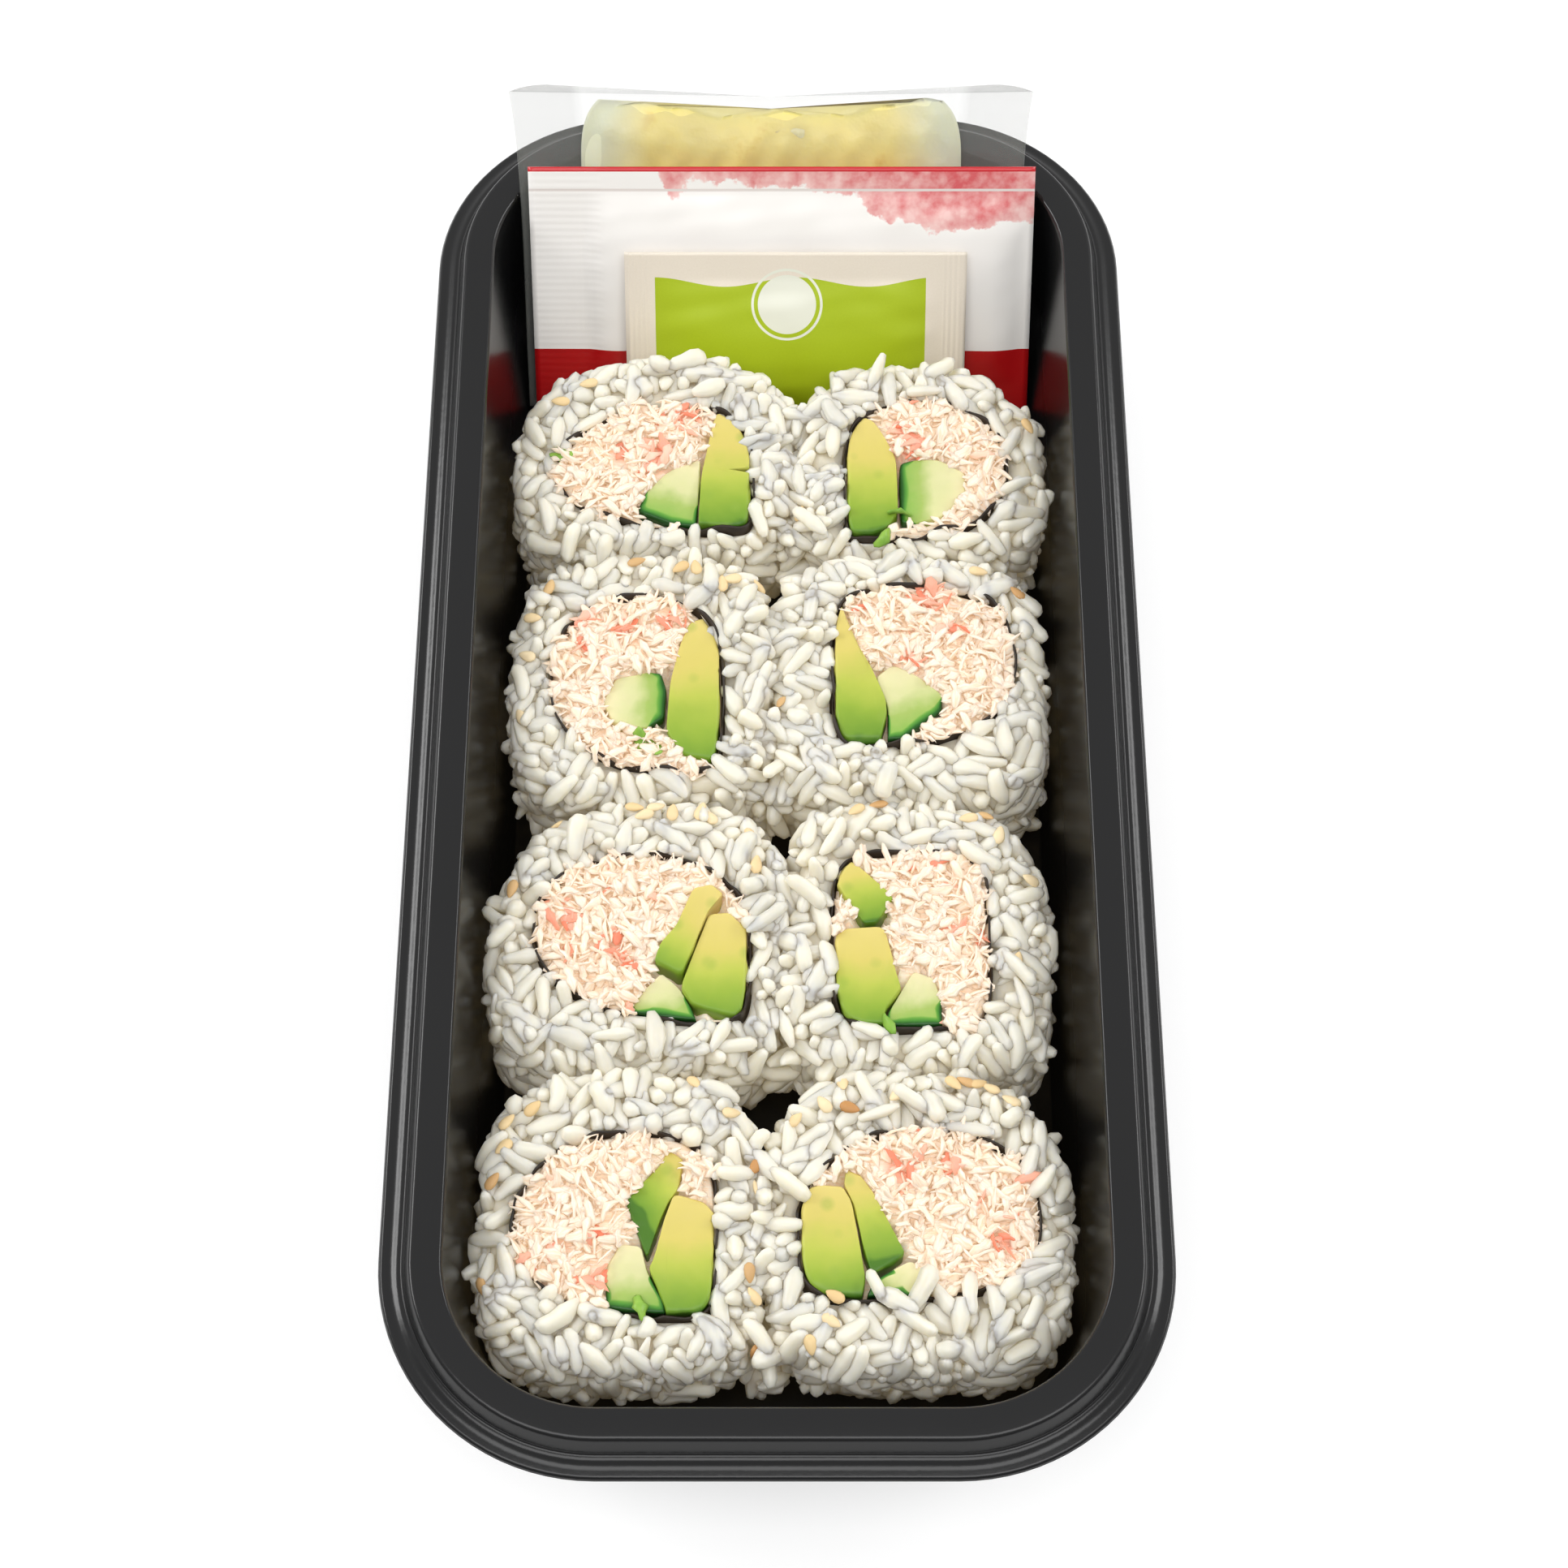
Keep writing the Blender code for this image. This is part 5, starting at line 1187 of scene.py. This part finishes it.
def pickled_ginger(name, dull, pale, deep):
    """Pickled ginger root: wet pale yellow slices, paler at their edges, with faint fibres. Its brine is
    the same yellow, cloudy with shreds."""
    material, tree, shader = material_of(name, Subsurface_Weight=0.3, Roughness=0.28, IOR=1.4,
                                         Subsurface_Radius=(1.0, 0.9, 0.4), Subsurface_Scale=0.002)
    place = add(tree, "TexCoord").outputs["Object"]
    cloud = add(tree, "TexNoise", {"Vector": place, "Scale": 120.0, "Detail": 4.0, "Roughness": 0.6})
    tone = add(tree, "Attribute", attribute_name="tone").outputs["Fac"]
    spread = add(tree, "MapRange", {0: tone, 3: -0.12, 4: 0.12})
    mixed = add(tree, "Math", {0: spread.outputs[0], 1: cloud.outputs["Fac"]}, operation="ADD")
    colour = add(tree, "ValToRGB", {0: mixed.outputs[0]})
    colour.color_ramp.elements[0].position = 0.3
    colour.color_ramp.elements[0].color = linear(dull)
    colour.color_ramp.elements[1].position = 0.75
    colour.color_ramp.elements[1].color = linear(deep)
    colour.color_ramp.elements.new(0.5).color = linear(pale)
    # The ends of the bag's contents are pale, where there is only brine and thin shreds
    sheet = add(tree, "Attribute", attribute_name="sheet").outputs["Vector"]
    along, _, _ = add(tree, "SeparateXYZ", {0: sheet}).outputs
    side = add(tree, "Math", {0: along}, operation="ABSOLUTE")
    thin = add(tree, "MapRange", {0: side.outputs[0], 1: 27.0, 2: 39.0})
    faded = add(tree, "Mix", {0: thin.outputs[0], 6: colour.outputs[0], 7: linear("#dfe1c6")}, data_type="RGBA")
    tree.links.new(faded.outputs[2], shader.inputs["Base Color"])
    bump = add(tree, "Bump", {"Height": cloud.outputs["Fac"], "Strength": 0.5, "Distance": 0.001})
    tree.links.new(bump.outputs[0], shader.inputs["Normal"])
    return material


def white_floor():
    """White acrylic table, lit a little from below: matt and even."""
    material, tree, shader = material_of("white_acrylic_table", Roughness=0.9, Emission_Strength=0.58)
    shader.inputs["Base Color"].default_value = linear("#b8b8b8")
    shader.inputs["Emission Color"].default_value = linear("#ffffff")
    return material


# Stage

def build_stage():
    """Floor, soft light from all sides and above, and the camera."""
    corners = np.array(((-1.0, -1.0), (1.0, -1.0), (1.0, 1.0), (-1.0, 1.0))) * 4000.0
    rings = np.stack([np.concatenate([corners, np.full((4, 1), z)], -1) for z in (-20.0, 0.0)])[None]
    tips = np.array(((0.0, 0.0, -20.0), (0.0, 0.0, 0.0)))[None]
    floor = solid("floor", rings, white_floor(), tips)

    world = bpy.data.worlds.new("white_studio_dimmer_in_front")
    world.use_nodes = True
    tree = world.node_tree
    tree.nodes["Background"].inputs["Color"].default_value = (1.0, 1.0, 1.0, 1.0)
    direction = add(tree, "TexCoord").outputs["Generated"]
    height = add(tree, "VectorMath", {0: direction, 1: (0.0, 0.6, 0.8)}, operation="DOT_PRODUCT")
    strength = add(tree, "MapRange", {0: height.outputs["Value"], 1: -0.25, 2: 0.6, 3: 0.3, 4: 0.78})
    tree.links.new(strength.outputs[0], tree.nodes["Background"].inputs["Strength"])
    bpy.context.scene.world = world
    for name, place, size, power in (("softbox_over_camera", (0.0, -0.36, 1.0), (1.2, 0.45), 4.9), ("left_strip", (-0.74, 0.25, 0.5), (0.6, 0.22), 3.2),
                                     ("right_strip", (0.74, 0.25, 0.5), (0.6, 0.22), 2.4)):
        data = bpy.data.lights.new(name, "AREA")
        data.energy = power
        data.shape = "RECTANGLE"
        data.size, data.size_y = size
        lamp = bpy.data.objects.new(name, data)
        lamp.location = place
        aim = np.array((0.0, 0.0, 0.02)) - np.array(place)
        lamp.rotation_euler = (math.acos(-aim[2] / np.linalg.norm(aim)), 0.0, math.atan2(aim[1], aim[0]) - math.pi / 2)
        bpy.context.scene.collection.objects.link(lamp)

    data = bpy.data.cameras.new("camera")
    data.lens = CAMERA_LENS
    data.sensor_width = 36.0
    camera = bpy.data.objects.new("camera", data)
    camera.location = CAMERA_PLACE
    camera.rotation_euler = (math.radians(CAMERA_TILT), 0.0, 0.0)
    bpy.context.scene.collection.objects.link(camera)
    bpy.context.scene.camera = camera
    bpy.context.scene.view_settings.view_transform = "Standard"


def build_all():
    """Every piece of the tray, then the stage."""
    # Both rice materials carry a painted warm glow, 0.03 on the grains and 0.08 on the core, that pales their crevices
    materials = dict(rice=cooked_rice("cooked_short_grain_rice", "#d6d3c8", "#ece5d2", 0.03),
                     rice_core=cooked_rice("pressed_rice_between_grains", "#dfd8c6", "#ebe6d8", 0.08),
                     crab=shredded_crab(), avocado=ripe_avocado(), cucumber=cut_cucumber(), scrap=green_scrap(),
                     sesame=toasted_sesame(), ginger=pickled_ginger("pickled_ginger_root", "#dcc978", "#ece3ae", "#cda83e"),
                     brine=pickled_ginger("cloudy_ginger_brine", "#e9d988", "#f2e088", "#d8aa3a"))
    nori = seaweed()
    build_tray(black_plastic())
    for number, roll in enumerate(ROLLS, start=1):
        build_rice(number, roll, materials)
        build_nori(number, roll, nori)
        build_crab(number, roll, materials)
        build_strips(number, roll, materials)
    build_bits(materials)
    keep(pillow("soy_pouch", SOY, leaning, soy_film(), 60, 90, 0.2, 300), "soy_film", "soy_sachet")
    keep(pillow("wasabi_pouch", WASABI, leaning, wasabi_film(), 60, 70, 0.2, 310), "wasabi_film", "wasabi_sachet")
    keep(pillow("ginger_film", GINGER, ginger_place, clear_film(), 70, 100, 0.4, 320), "clear_film", "ginger_bag")
    build_ginger(materials)
    build_stage()


build_all()
